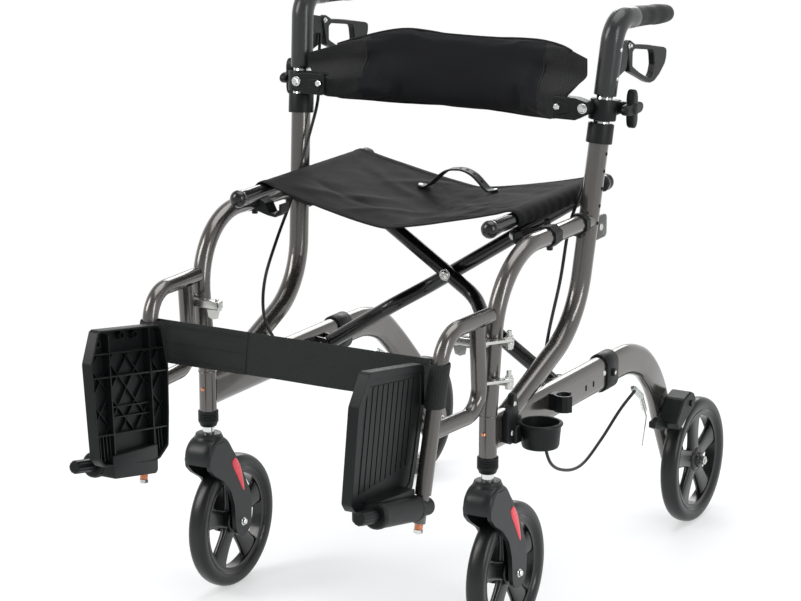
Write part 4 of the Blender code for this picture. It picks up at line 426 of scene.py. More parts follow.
def make_woven_thread():
    """A plain weave: each thread is half a sine wave, and warp and weft take turns on top in a
    checker. Its second output marks where the threads dip, for painted shade in the valleys."""
    group, ins, outs = effect("woven_thread", [
        ("Flat Place", "NodeSocketVector", None), ("Threads per Metre", "NodeSocketFloat", 700.0),
        ("Ribs per Metre", "NodeSocketFloat", 700.0)],
        [("Height", "NodeSocketFloat"), ("Painted Valley Shade", "NodeSocketFloat")])
    parts = node(group, "ShaderNodeSeparateXYZ", {0: ins.outputs["Flat Place"]})
    u = maths(group, "MULTIPLY", parts.outputs[0], ins.outputs["Threads per Metre"])
    v = maths(group, "MULTIPLY", parts.outputs[1], ins.outputs["Ribs per Metre"])
    warp = maths(group, "ABSOLUTE", maths(group, "SINE", maths(group, "MULTIPLY", u, math.pi)))
    weft = maths(group, "ABSOLUTE", maths(group, "SINE", maths(group, "MULTIPLY", v, math.pi)))
    turn = maths(group, "MODULO", maths(group, "ADD", maths(group, "FLOOR", u), maths(group, "FLOOR", v)),
                 2.0)
    over = maths(group, "ABSOLUTE", turn)
    height = maths(group, "ADD", maths(group, "MULTIPLY", warp, over),
                   maths(group, "MULTIPLY", weft, maths(group, "SUBTRACT", 1.0, over)))
    group.links.new(height, outs.inputs["Height"])
    # Painted shade mask: highest where both threads dip, for darkening the weave's valleys.
    group.links.new(maths(group, "SUBTRACT", 1.0, maths(group, "MULTIPLY", warp, weft)),
                    outs.inputs["Painted Valley Shade"])
    return group


HANDLED = make_handled_surface()
WOVEN = make_woven_thread()


def finish_of(name, colour, roughness, metallic=0.0, shade=0.10, rub=0.10, grains=1500.0, depth=0.00002,
              coat=0.0, coat_roughness=0.1,
              weave=None, weave_depth=0.0002, sheen=0.0, shine=0.5):
    """A finish: the handled surface over a plain colour, with grain or weave as its relief; a weave also has
    painted shade in its valleys.
    """
    material = bpy.data.materials.new(name)
    material.use_nodes = True
    tree = material.node_tree
    shader = tree.nodes["Principled BSDF"]
    shader.inputs["Metallic"].default_value = metallic
    shader.inputs["Coat Weight"].default_value = coat
    shader.inputs["Coat Roughness"].default_value = coat_roughness
    shader.inputs["Sheen Weight"].default_value = sheen
    shader.inputs["Sheen Roughness"].default_value = 0.5
    shader.inputs["Specular IOR Level"].default_value = shine
    place = node(tree, "ShaderNodeTexCoord")
    surface = node(tree, "ShaderNodeGroup", node_tree=HANDLED)
    surface.inputs["Colour"].default_value = (*colour, 1)
    surface.inputs["Shade Spread"].default_value = shade
    surface.inputs["Roughness"].default_value = roughness
    surface.inputs["Rub"].default_value = rub
    surface.inputs["Grains per Metre"].default_value = grains
    tree.links.new(place.outputs["Object"], surface.inputs["Place"])
    shown = surface.outputs["Colour"]
    height = surface.outputs["Height"]
    relief = node(tree, "ShaderNodeBump", {"Distance": depth, "Strength": 1.0})
    if weave:
        cloth = node(tree, "ShaderNodeGroup", node_tree=WOVEN)
        cloth.inputs["Threads per Metre"].default_value = weave[0]
        cloth.inputs["Ribs per Metre"].default_value = weave[1]
        tree.links.new(place.outputs["UV"], cloth.inputs["Flat Place"])
        height = maths(tree, "ADD", cloth.outputs["Height"], maths(tree, "MULTIPLY", height, 0.35))
        relief.inputs["Distance"].default_value = weave_depth
        # Painted shade: the colour is multiplied towards dark grey where the threads dip, standing in for
        # shade in the weave's valleys.
        valley_shade = node(tree, "ShaderNodeMix", data_type="RGBA", blend_type="MULTIPLY")
        tree.links.new(maths(tree, "MULTIPLY", cloth.outputs["Painted Valley Shade"], 0.45), valley_shade.inputs[0])
        tree.links.new(shown, valley_shade.inputs[6])
        valley_shade.inputs[7].default_value = (0.25, 0.25, 0.27, 1)
        shown = valley_shade.outputs[2]
    tree.links.new(height, relief.inputs["Height"])
    tree.links.new(shown, shader.inputs["Base Color"])
    tree.links.new(surface.outputs["Roughness"], shader.inputs["Roughness"])
    tree.links.new(relief.outputs["Normal"], shader.inputs["Normal"])
    return material


PAINT = finish_of("champagne_paint", (0.118, 0.111, 0.104), 0.24, metallic=0.80, shade=0.08, rub=0.04,
                  grains=5200.0, depth=0.000002,
                  coat=0.60, coat_roughness=0.07)
BLACK_PAINT = finish_of("gloss_black_paint", (0.005, 0.005, 0.0055), 0.22, shade=0.08, rub=0.06,
                        grains=2500.0, depth=0.00001, coat=0.35,
                        coat_roughness=0.06, shine=0.35)
MOULDED = finish_of("moulded_black", (0.0060, 0.0072, 0.0074), 0.42, shade=0.14, rub=0.12, grains=2600.0,
                    depth=0.00004, shine=0.24)
FORK_FINISH = finish_of("fork_black", (0.0080, 0.0095, 0.0100), 0.38, shade=0.12, rub=0.12, grains=2600.0,
                        depth=0.00003, shine=0.38)
CASING = finish_of("grey_casing", (0.026, 0.027, 0.028), 0.32, metallic=0.25, shade=0.10, rub=0.08,
                   grains=2200.0, depth=0.000015, coat=0.25,
                   coat_roughness=0.15, shine=0.4)
GRIP = finish_of("rubber_grip", (0.0100, 0.0106, 0.0110), 0.58, shade=0.14, rub=0.14, grains=1800.0,
                 depth=0.00005, shine=0.35)
TYRE = finish_of("tyre_rubber", (0.0080, 0.0086, 0.0090), 0.30, shade=0.14, rub=0.12, grains=1600.0,
                 depth=0.00003, shine=0.38)
RIM = finish_of("rim_black", (0.0058, 0.0062, 0.0066), 0.26, shade=0.12, rub=0.08, grains=2400.0,
                depth=0.00002, coat=0.25, coat_roughness=0.12,
                shine=0.35)
ZINC = finish_of("zinc_plate", (0.60, 0.61, 0.58), 0.28, metallic=1.0, shade=0.16, rub=0.18, grains=900.0,
                 depth=0.00002)
CHROME = finish_of("bright_chrome", (0.72, 0.74, 0.73), 0.14, metallic=1.0, shade=0.06, rub=0.08,
                   grains=700.0, depth=0.000008)
COPPER = finish_of("copper_button", (0.70, 0.30, 0.17), 0.26, metallic=1.0, shade=0.12, rub=0.12,
                   grains=900.0, depth=0.000008)
NYLON = finish_of("seat_nylon", (0.0052, 0.0054, 0.0062), 0.72, shade=0.22, rub=0.16, grains=420.0,
                  depth=0.0001, weave=(620.0, 620.0),
                  weave_depth=0.00022, sheen=0.02, shine=0.12)
PAD_CLOTH = finish_of("pad_cloth", (0.0170, 0.0174, 0.0190), 0.85, shade=0.18, rub=0.10, grains=420.0,
                      depth=0.0001, weave=(820.0, 820.0),
                      weave_depth=0.00014, sheen=0.02, shine=0.10)
PAD_MESH = finish_of("pad_mesh", (0.0220, 0.0222, 0.0225), 0.78, shade=0.20, rub=0.10, grains=420.0,
                     depth=0.0001, weave=(360.0, 360.0),
                     weave_depth=0.0005, sheen=0.05, shine=0.14)
PIPING = finish_of("pad_piping", (0.0070, 0.0072, 0.0080), 0.66, shade=0.15, rub=0.10, grains=420.0,
                   depth=0.0001, weave=(900.0, 900.0),
                   weave_depth=0.0002, sheen=0.04, shine=0.16)
WEBBING = finish_of("calf_webbing", (0.0235, 0.0270, 0.0260), 0.66, shade=0.16, rub=0.14, grains=420.0,
                    depth=0.0001, weave=(260.0, 560.0),
                    weave_depth=0.0003, sheen=0.06, shine=0.18)
STITCH = finish_of("thread", (0.0180, 0.0180, 0.0195), 0.60, shade=0.15, rub=0.10, grains=1500.0,
                   depth=0.00003, shine=0.25)
JACKET = finish_of("cable_jacket", (0.0060, 0.0060, 0.0064), 0.36, shade=0.10, rub=0.10, grains=1500.0,
                   depth=0.00002, shine=0.35)
FERRULE = finish_of("white_ferrule", (0.56, 0.60, 0.56), 0.40, shade=0.08, rub=0.10, grains=1500.0,
                    depth=0.00002)
REFLECTOR = finish_of("red_reflector", (0.80, 0.020, 0.045), 0.28, shade=0.10, rub=0.06, grains=800.0,
                      depth=0.00006, coat=0.4, coat_roughness=0.12)
# Painted shade: a near-black finish for hole mouths and slots, in place of the shade inside them.
HOLE_PAINTED_SHADE = finish_of("hole_shadow", (0.004, 0.004, 0.004), 0.70, shade=0.10, rub=0.10, grains=1500.0,
                      depth=0.00002, shine=0.1)

node_finishes = {
    "caster_fork": FORK_FINISH, "caster_stem": CHROME, "stem_collar": MOULDED, "spring_button": COPPER,
    "leg_collar": MOULDED,
    "brake_housing": MOULDED, "brake_shoe": ZINC, "height_collar": CASING, "brake_lever": CASING,
    "backrest_clamp": MOULDED,
    "clamp_knob": MOULDED, "backrest_bracket": MOULDED, "footrest_hanger": PAINT, "hanger_latch": ZINC,
    "footplate": MOULDED,
    "footplate_stem": PAINT, "rail_holder_front": MOULDED, "rail_holder_rear": MOULDED, "side_frame": PAINT,
    "brake_cable": JACKET,
    "front_wheel": TYRE, "rear_wheel": TYRE, "rear_leg": PAINT, "handle": CASING,
    "cross_tube_front": BLACK_PAINT,
    "cross_tube_rear": BLACK_PAINT, "cross_link": BLACK_PAINT, "seat_rail": BLACK_PAINT, "seat_sling": NYLON,
    "grab_strap": MOULDED,
    "backrest_band": PAD_CLOTH, "calf_strap": WEBBING, "cup_holder": MOULDED, "cane_clip": MOULDED,
}
for name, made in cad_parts.items():
    kind = name[:-6] if name.endswith("_right") else name[:-5] if name.endswith("_left") else name
    for place in made.material_slots:
        place.material = node_finishes[kind]


# Small shapes that several pieces use

def along(path, stations):
    """Points of a path at the given distances from its start."""
    length = arc_length(path)
    return np.stack([np.interp(stations, length, path[:, k]) for k in range(3)], axis=1)


def stepped(path, spacing=0.012):
    """The path with extra stations on its straight runs."""
    path = np.asarray(path, float)
    length = arc_length(path)
    stations = np.unique(np.round(np.concatenate([length, np.arange(0, length[-1], spacing)]), 5))
    return along(path, stations)


def hollow(path, outer, inner, depth, across=(1, 0, 0)):
    """A tube with an open far end: its skin along the path, then the skin of its bore back by the
    depth."""
    length = arc_length(path)
    bore = swept(path, inner, across)[length > length[-1] - depth][::-1]
    return np.concatenate([swept(path, outer, across), bore])


def round_about(outline, centre, turns):
    """The points where rays from a centre, at the given turns, meet a closed outline."""
    closed = np.vstack([outline, outline[:1]])
    depth = np.zeros((len(closed), 1))
    ring = stepped(np.hstack([closed, depth]), 0.0015)[:, :2] - centre
    reach = np.interp(turns, np.arctan2(ring[:, 1], ring[:, 0]), np.hypot(*ring.T), period=2 * np.pi)
    return centre + np.stack([reach * np.cos(turns), reach * np.sin(turns)], axis=1)


def loop_plate(outer, inner, plane, low, high, edge):
    """A flat loop between two outlines: each station's eight points go over the outer wall, a face,
    the inner wall and the other face, and its edges are cut back by the given amount."""
    way = unit(outer - inner)
    rows = [(outer, low + edge), (outer, high - edge), (outer - way * edge, high), (inner + way * edge, high),
            (inner, high - edge), (inner, low + edge), (inner + way * edge, low), (outer - way * edge, low)]
    return np.stack([into_plane(flat, plane, depth) for flat, depth in rows], axis=1)


def pillow_plate(outline, plane, low, high, edge, steps=4):
    """A plate whose faces meet its wall in a quarter round: the outline is drawn in as it nears
    each face."""
    centre = outline.mean(axis=0)
    inward = unit(centre - outline)
    turn = np.linspace(0, np.pi / 2, steps)
    layers = [(edge * (1 - np.sin(t)), low + edge * (1 - np.cos(t))) for t in turn]
    layers += [(edge * (1 - np.sin(t)), high - edge * (1 - np.cos(t))) for t in turn[::-1]]
    return np.stack([into_plane(outline + inward * cut, plane, depth) for cut, depth in layers])


def round_hole(shape, at, axis, radius, slot):
    """A dark disc with a thin lip: painted shade standing in for the inside of a hole whose depth isn't seen.
    """
    return shape.add(turned([(0, 0.0002), (radius, 0.0002), (radius + 0.0003, -0.0004)], at, axis, 20),
                     caps=False, slot=slot)


# Side frames

def frame_tubes(made):
    """The bent front tube, the curved upright and the oval lower tube, each open where another
    piece slides in."""
    top_x, top_y = front_x(0.567), on_upright(0.567)[1] - 0.004
    front = bent([(top_x, top_y, 0.563), (top_x, 0, 0.567), (CASTER_X, 0, 0.34), (CASTER_X, 0, 0.2652)],
                 (0.107, 0.20), 3)
    made.add(hollow(stepped(front), circle(FRONT_TUBE_R, 36), circle(0.0098, 36), 0.079))
    foot = (CASTER_X + 0.0005, 0.055, 0.3305)
    corner = (rear_x(0.4137), on_upright(0.4137)[1], 0.4137)
    upright = bent([foot, corner, on_upright(0.692)], (0.125,), 3)
    made.add(hollow(stepped(upright), circle(UPRIGHT_R, 40), circle(0.0131, 40), 0.19))
    lower = stepped([(CASTER_X, 0.004, OVAL_Z), (CASTER_X, 0.374, OVAL_Z)])
    made.add(hollow(lower, stadium(OVAL_W, OVAL_H, 14), stadium(0.0224, 0.0484, 14), 0.214))


def weld_bead(made, at, axis, radius):
    """A low ring of weld round the foot of a joined tube."""
    a = np.linspace(0, 2 * np.pi, 13)[:-1]
    ring = np.stack([radius + 0.0012 * np.cos(a), 0.0012 * np.sin(a)], axis=1)
    made.add(turned(ring, at, axis, 36), along=True)


def hanger_arms(made):
    """Two zinc arms on the outside of the front tube, each with its upright pin, nut and foot."""
    for z in ARM_LEVELS:
        low = z - 0.0023 - 0.006
        x = front_x(z)
        outline = rounded_outline([(x, -0.0075), (0.267, -0.0065), (0.267, 0.0065), (x, 0.0075)],
                                  (0, 0.0062, 0.0062, 0))
        made.add(pillow_plate(outline, "XY", low, low + 0.006, 0.0012), slot=2)
        bar(made, (ARM_PIN_X, 0, low - 0.001), (ARM_PIN_X, 0, z + 0.013), 0.0035, slot=2)
        bolt(made, (ARM_PIN_X, 0, low), (0, 0, -1), 0.0058, 0.005, slot=2)


def clevis(made, pivot_y):
    """Two ears on the inside of the oval tube and the pin through them."""
    x_out = CASTER_X - OVAL_W / 2 + 0.002
    for side in (-1, 1):
        y = pivot_y + side * (CROSS_R + 0.0018)
        ear = rounded_outline([(x_out, PIVOT_Z - 0.013), (x_out, PIVOT_Z + 0.013),
                               (RAIL_X - 0.011, PIVOT_Z + 0.011),
                               (RAIL_X - 0.011, PIVOT_Z - 0.011)], (0, 0, 0.009, 0.009))
        made.add(pillow_plate(ear, "XZ", y - 0.0015, y + 0.0015, 0.0006), slot=1)
    bar(made, (RAIL_X, pivot_y - 0.0185, PIVOT_Z), (RAIL_X, pivot_y + 0.0175, PIVOT_Z), 0.0035, slot=2)
    bolt(made, (RAIL_X, pivot_y - 0.0145, PIVOT_Z), (0, -1, 0), 0.0065, 0.004, slot=2)


def frame_holes(made):
    """The height holes up the upright and the two slots near the mouth of the oval tube, as dark
    mouths of painted shade."""
    for i in range(5):
        at = on_upright(TOP_HOLE_Z) - UPRIGHT_WAY * (HOLE_PITCH * i)
        round_hole(made, at + (UPRIGHT_R - 0.0001, 0, 0), (1, 0, 0), 0.003, 3)
    for y in (0.283, 0.308):
        slot = rounded_outline([(y - 0.0025, OVAL_Z - 0.008), (y + 0.0025, OVAL_Z - 0.008),
                                (y + 0.0025, OVAL_Z + 0.001),
                                (y - 0.0025, OVAL_Z + 0.001)], (0.0022,) * 4)
        made.add(plate(slot, "YZ", CASTER_X + OVAL_W / 2 - 0.001, CASTER_X + OVAL_W / 2 + 0.0002), slot=3)
    dome(made, (CASTER_X + OVAL_W / 2, 0.345, OVAL_Z + 0.004), (1, 0, 0), 0.0042, 0.0022, slot=2)


def rear_tab(made, link_y):
    """The black plate behind the upright with its bolt, and the block inside it that holds the link
    bar's end."""
    x, y = rear_x(0.544) - 0.0015, on_upright(0.544)[1]
    outline = rounded_outline([(y + 0.006, 0.527), (y + 0.066, 0.527), (y + 0.066, 0.561),
                               (y + 0.006, 0.561)], (0, 0.007, 0.007, 0))
    made.add(pillow_plate(outline, "YZ", x - 0.002, x + 0.002, 0.0008), slot=1)
    dome(made, (x + 0.002, y + 0.046, 0.544), (1, 0, 0), 0.0052, 0.0026, slot=2)
    dome(made, (x - 0.002, y + 0.046, 0.544), (-1, 0, 0), 0.0052, 0.0026, slot=2)
    inner, outer = rear_x(0.546) - 0.034, rear_x(0.546)
    block = rounded_outline([(inner, 0.537), (outer, 0.537), (outer, 0.549), (inner, 0.549)],
                            (0.004, 0, 0, 0.004))
    made.add(pillow_plate(block, "XZ", y, link_y - 0.0003, 0.0008), slot=1)
    bolt(made, (inner + 0.006, link_y - 0.0003, 0.543), (0, -1, 0), 0.0045, 0.0002, slot=2)


def make_side_frames():
    """Both welded frames; they differ in where their clevis and link block sit."""
    for side, pivot_y, link_y in (("right", 0.262, 0.317), ("left", 0.294, 0.293)):
        made = Shape()
        frame_tubes(made)
        weld_bead(made, (CASTER_X, 0, OVAL_Z + OVAL_H / 2 + 0.001), (0, 0, 1), FRONT_TUBE_R)
        hanger_arms(made)
        clevis(made, pivot_y)
        rear_tab(made, link_y)
        frame_holes(made)
        made = made if side == "right" else made.mirrored()
        put("frame_tubes_" + side, made, [PAINT, BLACK_PAINT, ZINC, HOLE_PAINTED_SHADE], "frame_" + side,
            replaces="side_frame_" + side)


# Wheels, casters and rear legs

def wheel(x, y):
    """Tyre, rim and hub are profiles turned about the axle; each spoke is an oval section that
    widens into the rim."""
    made = Shape()
    centre = np.array((x, y, WHEEL_R))
    a = np.linspace(np.radians(-62), np.radians(62), 15)
    crown = np.stack([0.0865 + 0.0135 * np.cos(a) ** 0.8,
                      0.0135 * np.sign(a) * np.abs(np.sin(a) / np.sin(a[-1])) ** 0.75], axis=1)
    tyre = [(0.0822, -0.0115), (0.0845, -0.0130), *crown.tolist(), (0.0845, 0.0130), (0.0822, 0.0115)]
    made.add(turned(tyre, centre, (1, 0, 0), 72), along=True)
    lip = [(0.0826, 0.0100), (0.0824, 0.0117), (0.0812, 0.0124), (0.0798, 0.0118), (0.0790, 0.0104),
           (0.0745, 0.0080), (0.0716, 0.0083)]
    rim = lip + [(r, -h) for r, h in lip[::-1]]
    made.add(turned(rim, centre, (1, 0, 0), 72), along=True, slot=1)
    half = 0.0295 / 2
    hub = [(0, half), (0.0100, half), (0.0116, half - 0.0012), (0.0122, half - 0.0045),
           (0.0140, half - 0.0052), (0.0180, half - 0.0062), (0.0192, 0.0065)]
    made.add(turned(hub + [(r, -h) for r, h in hub[::-1]], centre, (1, 0, 0), 40), caps=False, slot=1)
    u = np.linspace(0, 1, 12)[:, None]
    t = np.linspace(0, 2 * np.pi, 25)[:-1][None]
    wide = 0.0118 + 0.0052 * u + 0.0075 * u ** 9 + 0.004 * (1 - u) ** 8
    deep = 0.0068 + 0.0006 * u - 0.0012 * np.sin(np.pi * u)
    across = wide * np.sign(np.cos(t)) * np.abs(np.cos(t)) ** 0.7
    through = deep * np.sign(np.sin(t)) * np.abs(np.sin(t)) ** 0.55
    reach = 0.0150 + 0.0600 * u + 0 * t
    for turn in 2 * np.pi * np.arange(5) / 5 + 0.35:
        out = np.array((0, math.cos(turn), math.sin(turn)))
        side = np.array((0, -math.sin(turn), math.cos(turn)))
        grid = centre + reach[..., None] * out + across[..., None] * side + through[...,
                None] * np.array((1.0, 0, 0))
        made.add(grid, slot=1)
    return made


def fork():
    """Two swept legs and a crown between them; the crown's underside follows the tyre and the round
    nose hollow."""
    made = Shape()
    inner, outer = 0.0155, 0.022
    foot = [(CASTER_TRAIL + 0.0215 * math.cos(a), WHEEL_R + 0.0215 * math.sin(a))
            for a in np.radians(np.arange(200, 361, 16))]
    side = [(-0.014, 0.2370), (-0.022, 0.2290), (-0.0315, 0.2150), (-0.0292, 0.2020), (-0.018, 0.1910),
            (0.006, 0.1760),
            (0.024, 0.1560), (0.033, 0.1320), *foot, (0.0795, 0.1220), (0.0745, 0.1460), (0.0600, 0.1720),
            (0.0440, 0.2000),
            (0.0290, 0.2200), (0.0140, 0.2360)]
    radii = [0.006, 0.006, 0.006, 0.006, 0.012, 0.02, 0.02, 0.012] + [0.004] * len(foot) + [0.012, 0.02, 0.03,
            0.03, 0.008, 0.006]
    outline = rounded_outline(side, radii, 5)
    for low, high in ((inner, outer), (-outer, -inner)):
        made.add(plate(outline, "YZ", CASTER_X + low, CASTER_X + high))
    room = np.radians(np.linspace(98, 113.5, 6))
    hollow_arc = np.radians(np.linspace(18, 130, 14))
    crown = [(-0.0336, 0.2125), (-0.0316, 0.2336), (-0.0238, 0.2446), (0.0196, 0.2426), (0.0296, 0.2248),
             (0.0405, 0.2060)]
    crown += [(CASTER_TRAIL + 0.1075 * math.cos(t), WHEEL_R + 0.1075 * math.sin(t)) for t in room]
    crown += [(-0.014 + 0.030 * math.cos(t), 0.1885 + 0.030 * math.sin(t)) for t in hollow_arc]
    crown = np.array((0.0040, 0.2150)) + (np.array(crown) - (0.0040, 0.2150)) * (0.86, 0.88)
    made.add(plate(crown, "YZ", CASTER_X - 0.017, CASTER_X + 0.017))
    hood = smooth([(CASTER_X, -0.0285, 0.2085), (CASTER_X, -0.0290, 0.2170), (CASTER_X, -0.0258, 0.2275),
                   (CASTER_X, -0.0160, 0.2362),
                   (CASTER_X, 0.0000, 0.2395), (CASTER_X, 0.0145, 0.2345), (CASTER_X, 0.0255, 0.2215),
                   (CASTER_X, 0.0365, 0.2010)], 34)
    turn = np.linspace(0, 2 * np.pi, 49)[:-1]
    section = np.stack([0.0218 * np.sign(np.cos(turn)) * np.abs(np.cos(turn)) ** 0.55,
                        0.0068 * np.sign(np.sin(turn)) * np.abs(np.sin(turn)) ** 0.85], axis=1)
    hood, _ = rounded_ends(hood, 0.0068, 0.0040)
    made.add(swept(hood, section))
    cap = [(0, 0.2497), (0.0172, 0.2497), (0.0188, 0.2490), (0.0195, 0.2472), (0.0195, 0.2455),
           (0.0210, 0.2440), (0.0222, 0.2400), (0.0200, 0.2345), (0, 0.2345)]
    made.add(turned(cap, (CASTER_X, 0, 0), (0, 0, 1), 40), caps=False)
    return made


def fork_details():
    """The axle's bolt heads with their washers."""
    made = Shape()
    for way in (1, -1):
        at = (CASTER_X + way * 0.022, CASTER_TRAIL, WHEEL_R)
        made.add(turned([(0, 0.0006), (0.0058, 0.0006), (0.0062, 0.0002), (0.0062, -0.0005)], at, (way, 0, 0),
                        32), caps=False)
        bolt(made, at, (way, 0, 0), 0.0046, 0.0040)
        dome(made, np.array(at) + (way * 0.0036, 0, 0), (way, 0, 0), 0.0030, 0.0006)
    return made


def reflector():
    """A red drop on the outside of each leg: a bent line down the leg, widest near its top, crowned
    across."""
    made = Shape()
    u = np.linspace(0, 1, 26)
    share = 0.5 - 0.5 * np.cos(np.pi * u)
    middle = smooth([(0, 0.0315, 0.2035), (0, 0.0460, 0.1800), (0, 0.0590, 0.1480)], 26)[:, 1:]
    middle = np.stack([np.interp(share, u, middle[:, 0]), np.interp(share, u, middle[:, 1])], axis=1)
    way = unit(np.gradient(middle, axis=0))
    across = np.stack([-way[:, 1], way[:, 0]], axis=1)
    wide = 0.0078 * np.sqrt(np.clip(np.sin(np.pi * share ** 0.72), 0, 1)) * (1.06 - 0.35 * share)
    v = np.linspace(-1, 1, 13)
    flat = middle[:, None] + (wide[:, None] * v)[..., None] * across[:, None]
    for side in (1, -1):
        face = side * 0.0220
        lift = CASTER_X + face + side * 0.0014 * np.sqrt(np.clip((1 - v[None] ** 2) * (wide[:,
                None] / 0.0078), 0, 1))
        top = np.concatenate([lift[..., None], flat], axis=2)
        base = np.concatenate([np.full_like(lift, CASTER_X + face - side * 0.0005)[..., None], flat],
                              axis=2)[:, ::-1]
        made.add(np.concatenate([top, base], axis=1))
    return made


def make_stem_and_collar():
    """The caster's pin, and the grooved bush that it turns in, each turned about the caster's axis."""
    stem = Shape().add(turned([(0, 0.3124), (0.0075, 0.3124), (0.0090, 0.3104), (0.0090, 0.2373),
                               (0, 0.2373)], (CASTER_X, 0, 0), (0, 0, 1), 36), caps=False)
    both("caster_pin", stem, CHROME, "caster", "caster_stem")
    collar = [(FRONT_TUBE_R + 0.0003, 0.2834), (0.0143, 0.2834), (0.0149, 0.2826)]
    for z in (0.2790, 0.2762, 0.2734, 0.2706):
        collar += [(0.0149, z + 0.0014), (0.0141, z + 0.0009), (0.0141, z + 0.0003), (0.0149, z - 0.0002)]
    collar += [(0.0149, 0.2672), (0.0138, 0.2655), (0.0118, 0.2604), (0.0104, 0.2597), (0.0096, 0.2597),
               (0.0096, 0.2647), (FRONT_TUBE_R + 0.0003, 0.2647)]
    bush = Shape().add(turned(collar, (CASTER_X, 0, 0), (0, 0, 1), 44), along=True)
    both("stem_bush", bush, MOULDED, "frame", "stem_collar")


def leg_path():
    """The oval leg: level in the lower tube, over the hump and down beside the wheel."""
    knots = [(CASTER_X, 0.400, OVAL_Z), (CASTER_X, 0.422, OVAL_Z), (CASTER_X, 0.447, 0.3140),
             (CASTER_X, 0.477, 0.3068),
             (CASTER_X, 0.508, 0.2930), (CASTER_X - 0.001, 0.541, 0.2660), (0.2240, 0.5735, 0.2320),
             (0.2185, 0.6030, 0.1950),
             (0.2164, 0.6300, 0.1530), (0.216, 0.652, 0.114)]
    return np.vstack([[(CASTER_X, 0.205, OVAL_Z), (CASTER_X, 0.30, OVAL_Z)], smooth(knots, 70)])


def rear_leg():
    """The oval leg with its foot disc, axle boss, axle and nut."""
    made = Shape().add(swept(leg_path(), stadium(0.0214, 0.0474, 14)))
    foot = [(0, -0.0075), (0.0213, -0.0075), (0.0225, -0.0063), (0.0225, 0.0063), (0.0213, 0.0075),
            (0, 0.0075)]
    at = (0.216, REAR_AXLE_Y, WHEEL_R)
    made.add(turned(foot, at, (1, 0, 0), 44), caps=False)
    bar(made, at, (0.2326, REAR_AXLE_Y, WHEEL_R), 0.009, slot=1)
    bar(made, (0.204, REAR_AXLE_Y, WHEEL_R), (0.2718, REAR_AXLE_Y, WHEEL_R), 0.004, slot=1)
    bolt(made, (0.2634, REAR_AXLE_Y, WHEEL_R), (1, 0, 0), 0.0075, 0.0069, slot=1)
    bolt(made, (0.2085, REAR_AXLE_Y, WHEEL_R), (-1, 0, 0), 0.0070, 0.0045, slot=1)
    return made


def leg_sleeve():
    """The oval sleeve on the lower tube's mouth: an outer and an inner oval joined at both ends,
    and its screw."""
    made = Shape()
    low, high = 0.374 - 0.038 * 0.62, 0.374 + 0.038 * 0.38
    loops = []
    for width, height, y in ((0.0267, 0.0527, low), (0.0310, 0.0570, low), (0.0324, 0.0584, low + 0.0010),
                             (0.0324, 0.0584, high - 0.0014),
                             (0.0306, 0.0566, high), (0.0230, 0.0490, high), (0.0226, 0.0486, high - 0.001),
                             (0.0226, 0.0486, 0.3743), (0.0267, 0.0527, 0.3743)):
        flat = stadium(width, height, 14)
        loops.append(np.stack([CASTER_X + flat[:, 0], np.full(len(flat), y), OVAL_Z + flat[:, 1]], axis=1))
    made.add(np.stack(loops), along=True)
    boss = [(0, 0.0042), (0.0040, 0.0042), (0.0056, 0.0036), (0.0064, 0.0), (0.0064, -0.002)]
    made.add(turned(boss, (CASTER_X + 0.0160, 0.3690, OVAL_Z), (1, 0, 0), 28), caps=False)
    dome(made, (CASTER_X + 0.0198, 0.3690, OVAL_Z), (1, 0, 0), 0.0034, 0.0012, slot=1)
    return made


def make_running_gear():
    """Wheels, forks, stems, rear legs and the sleeves that they slide in."""
    both("front_wheel_cast", wheel(CASTER_X, CASTER_TRAIL), [TYRE, RIM], "front_wheel_body", "front_wheel",
         smooth_angle=50)
    both("rear_wheel_cast", wheel(REAR_WHEEL_X, REAR_AXLE_Y), [TYRE, RIM], "rear_wheel_body", "rear_wheel",
         smooth_angle=50)
    both("fork_casting", fork(), FORK_FINISH, "caster", "caster_fork", bevel=0.0030, segments=4)
    both("fork_bolts", fork_details(), CHROME, "caster")
    both("fork_reflector", reflector(), REFLECTOR, "caster")
    make_stem_and_collar()
    both("oval_leg", rear_leg(), [PAINT, ZINC], "leg", "rear_leg")
    both("oval_sleeve", leg_sleeve(), [MOULDED, ZINC], "frame", "leg_collar")


# Handles

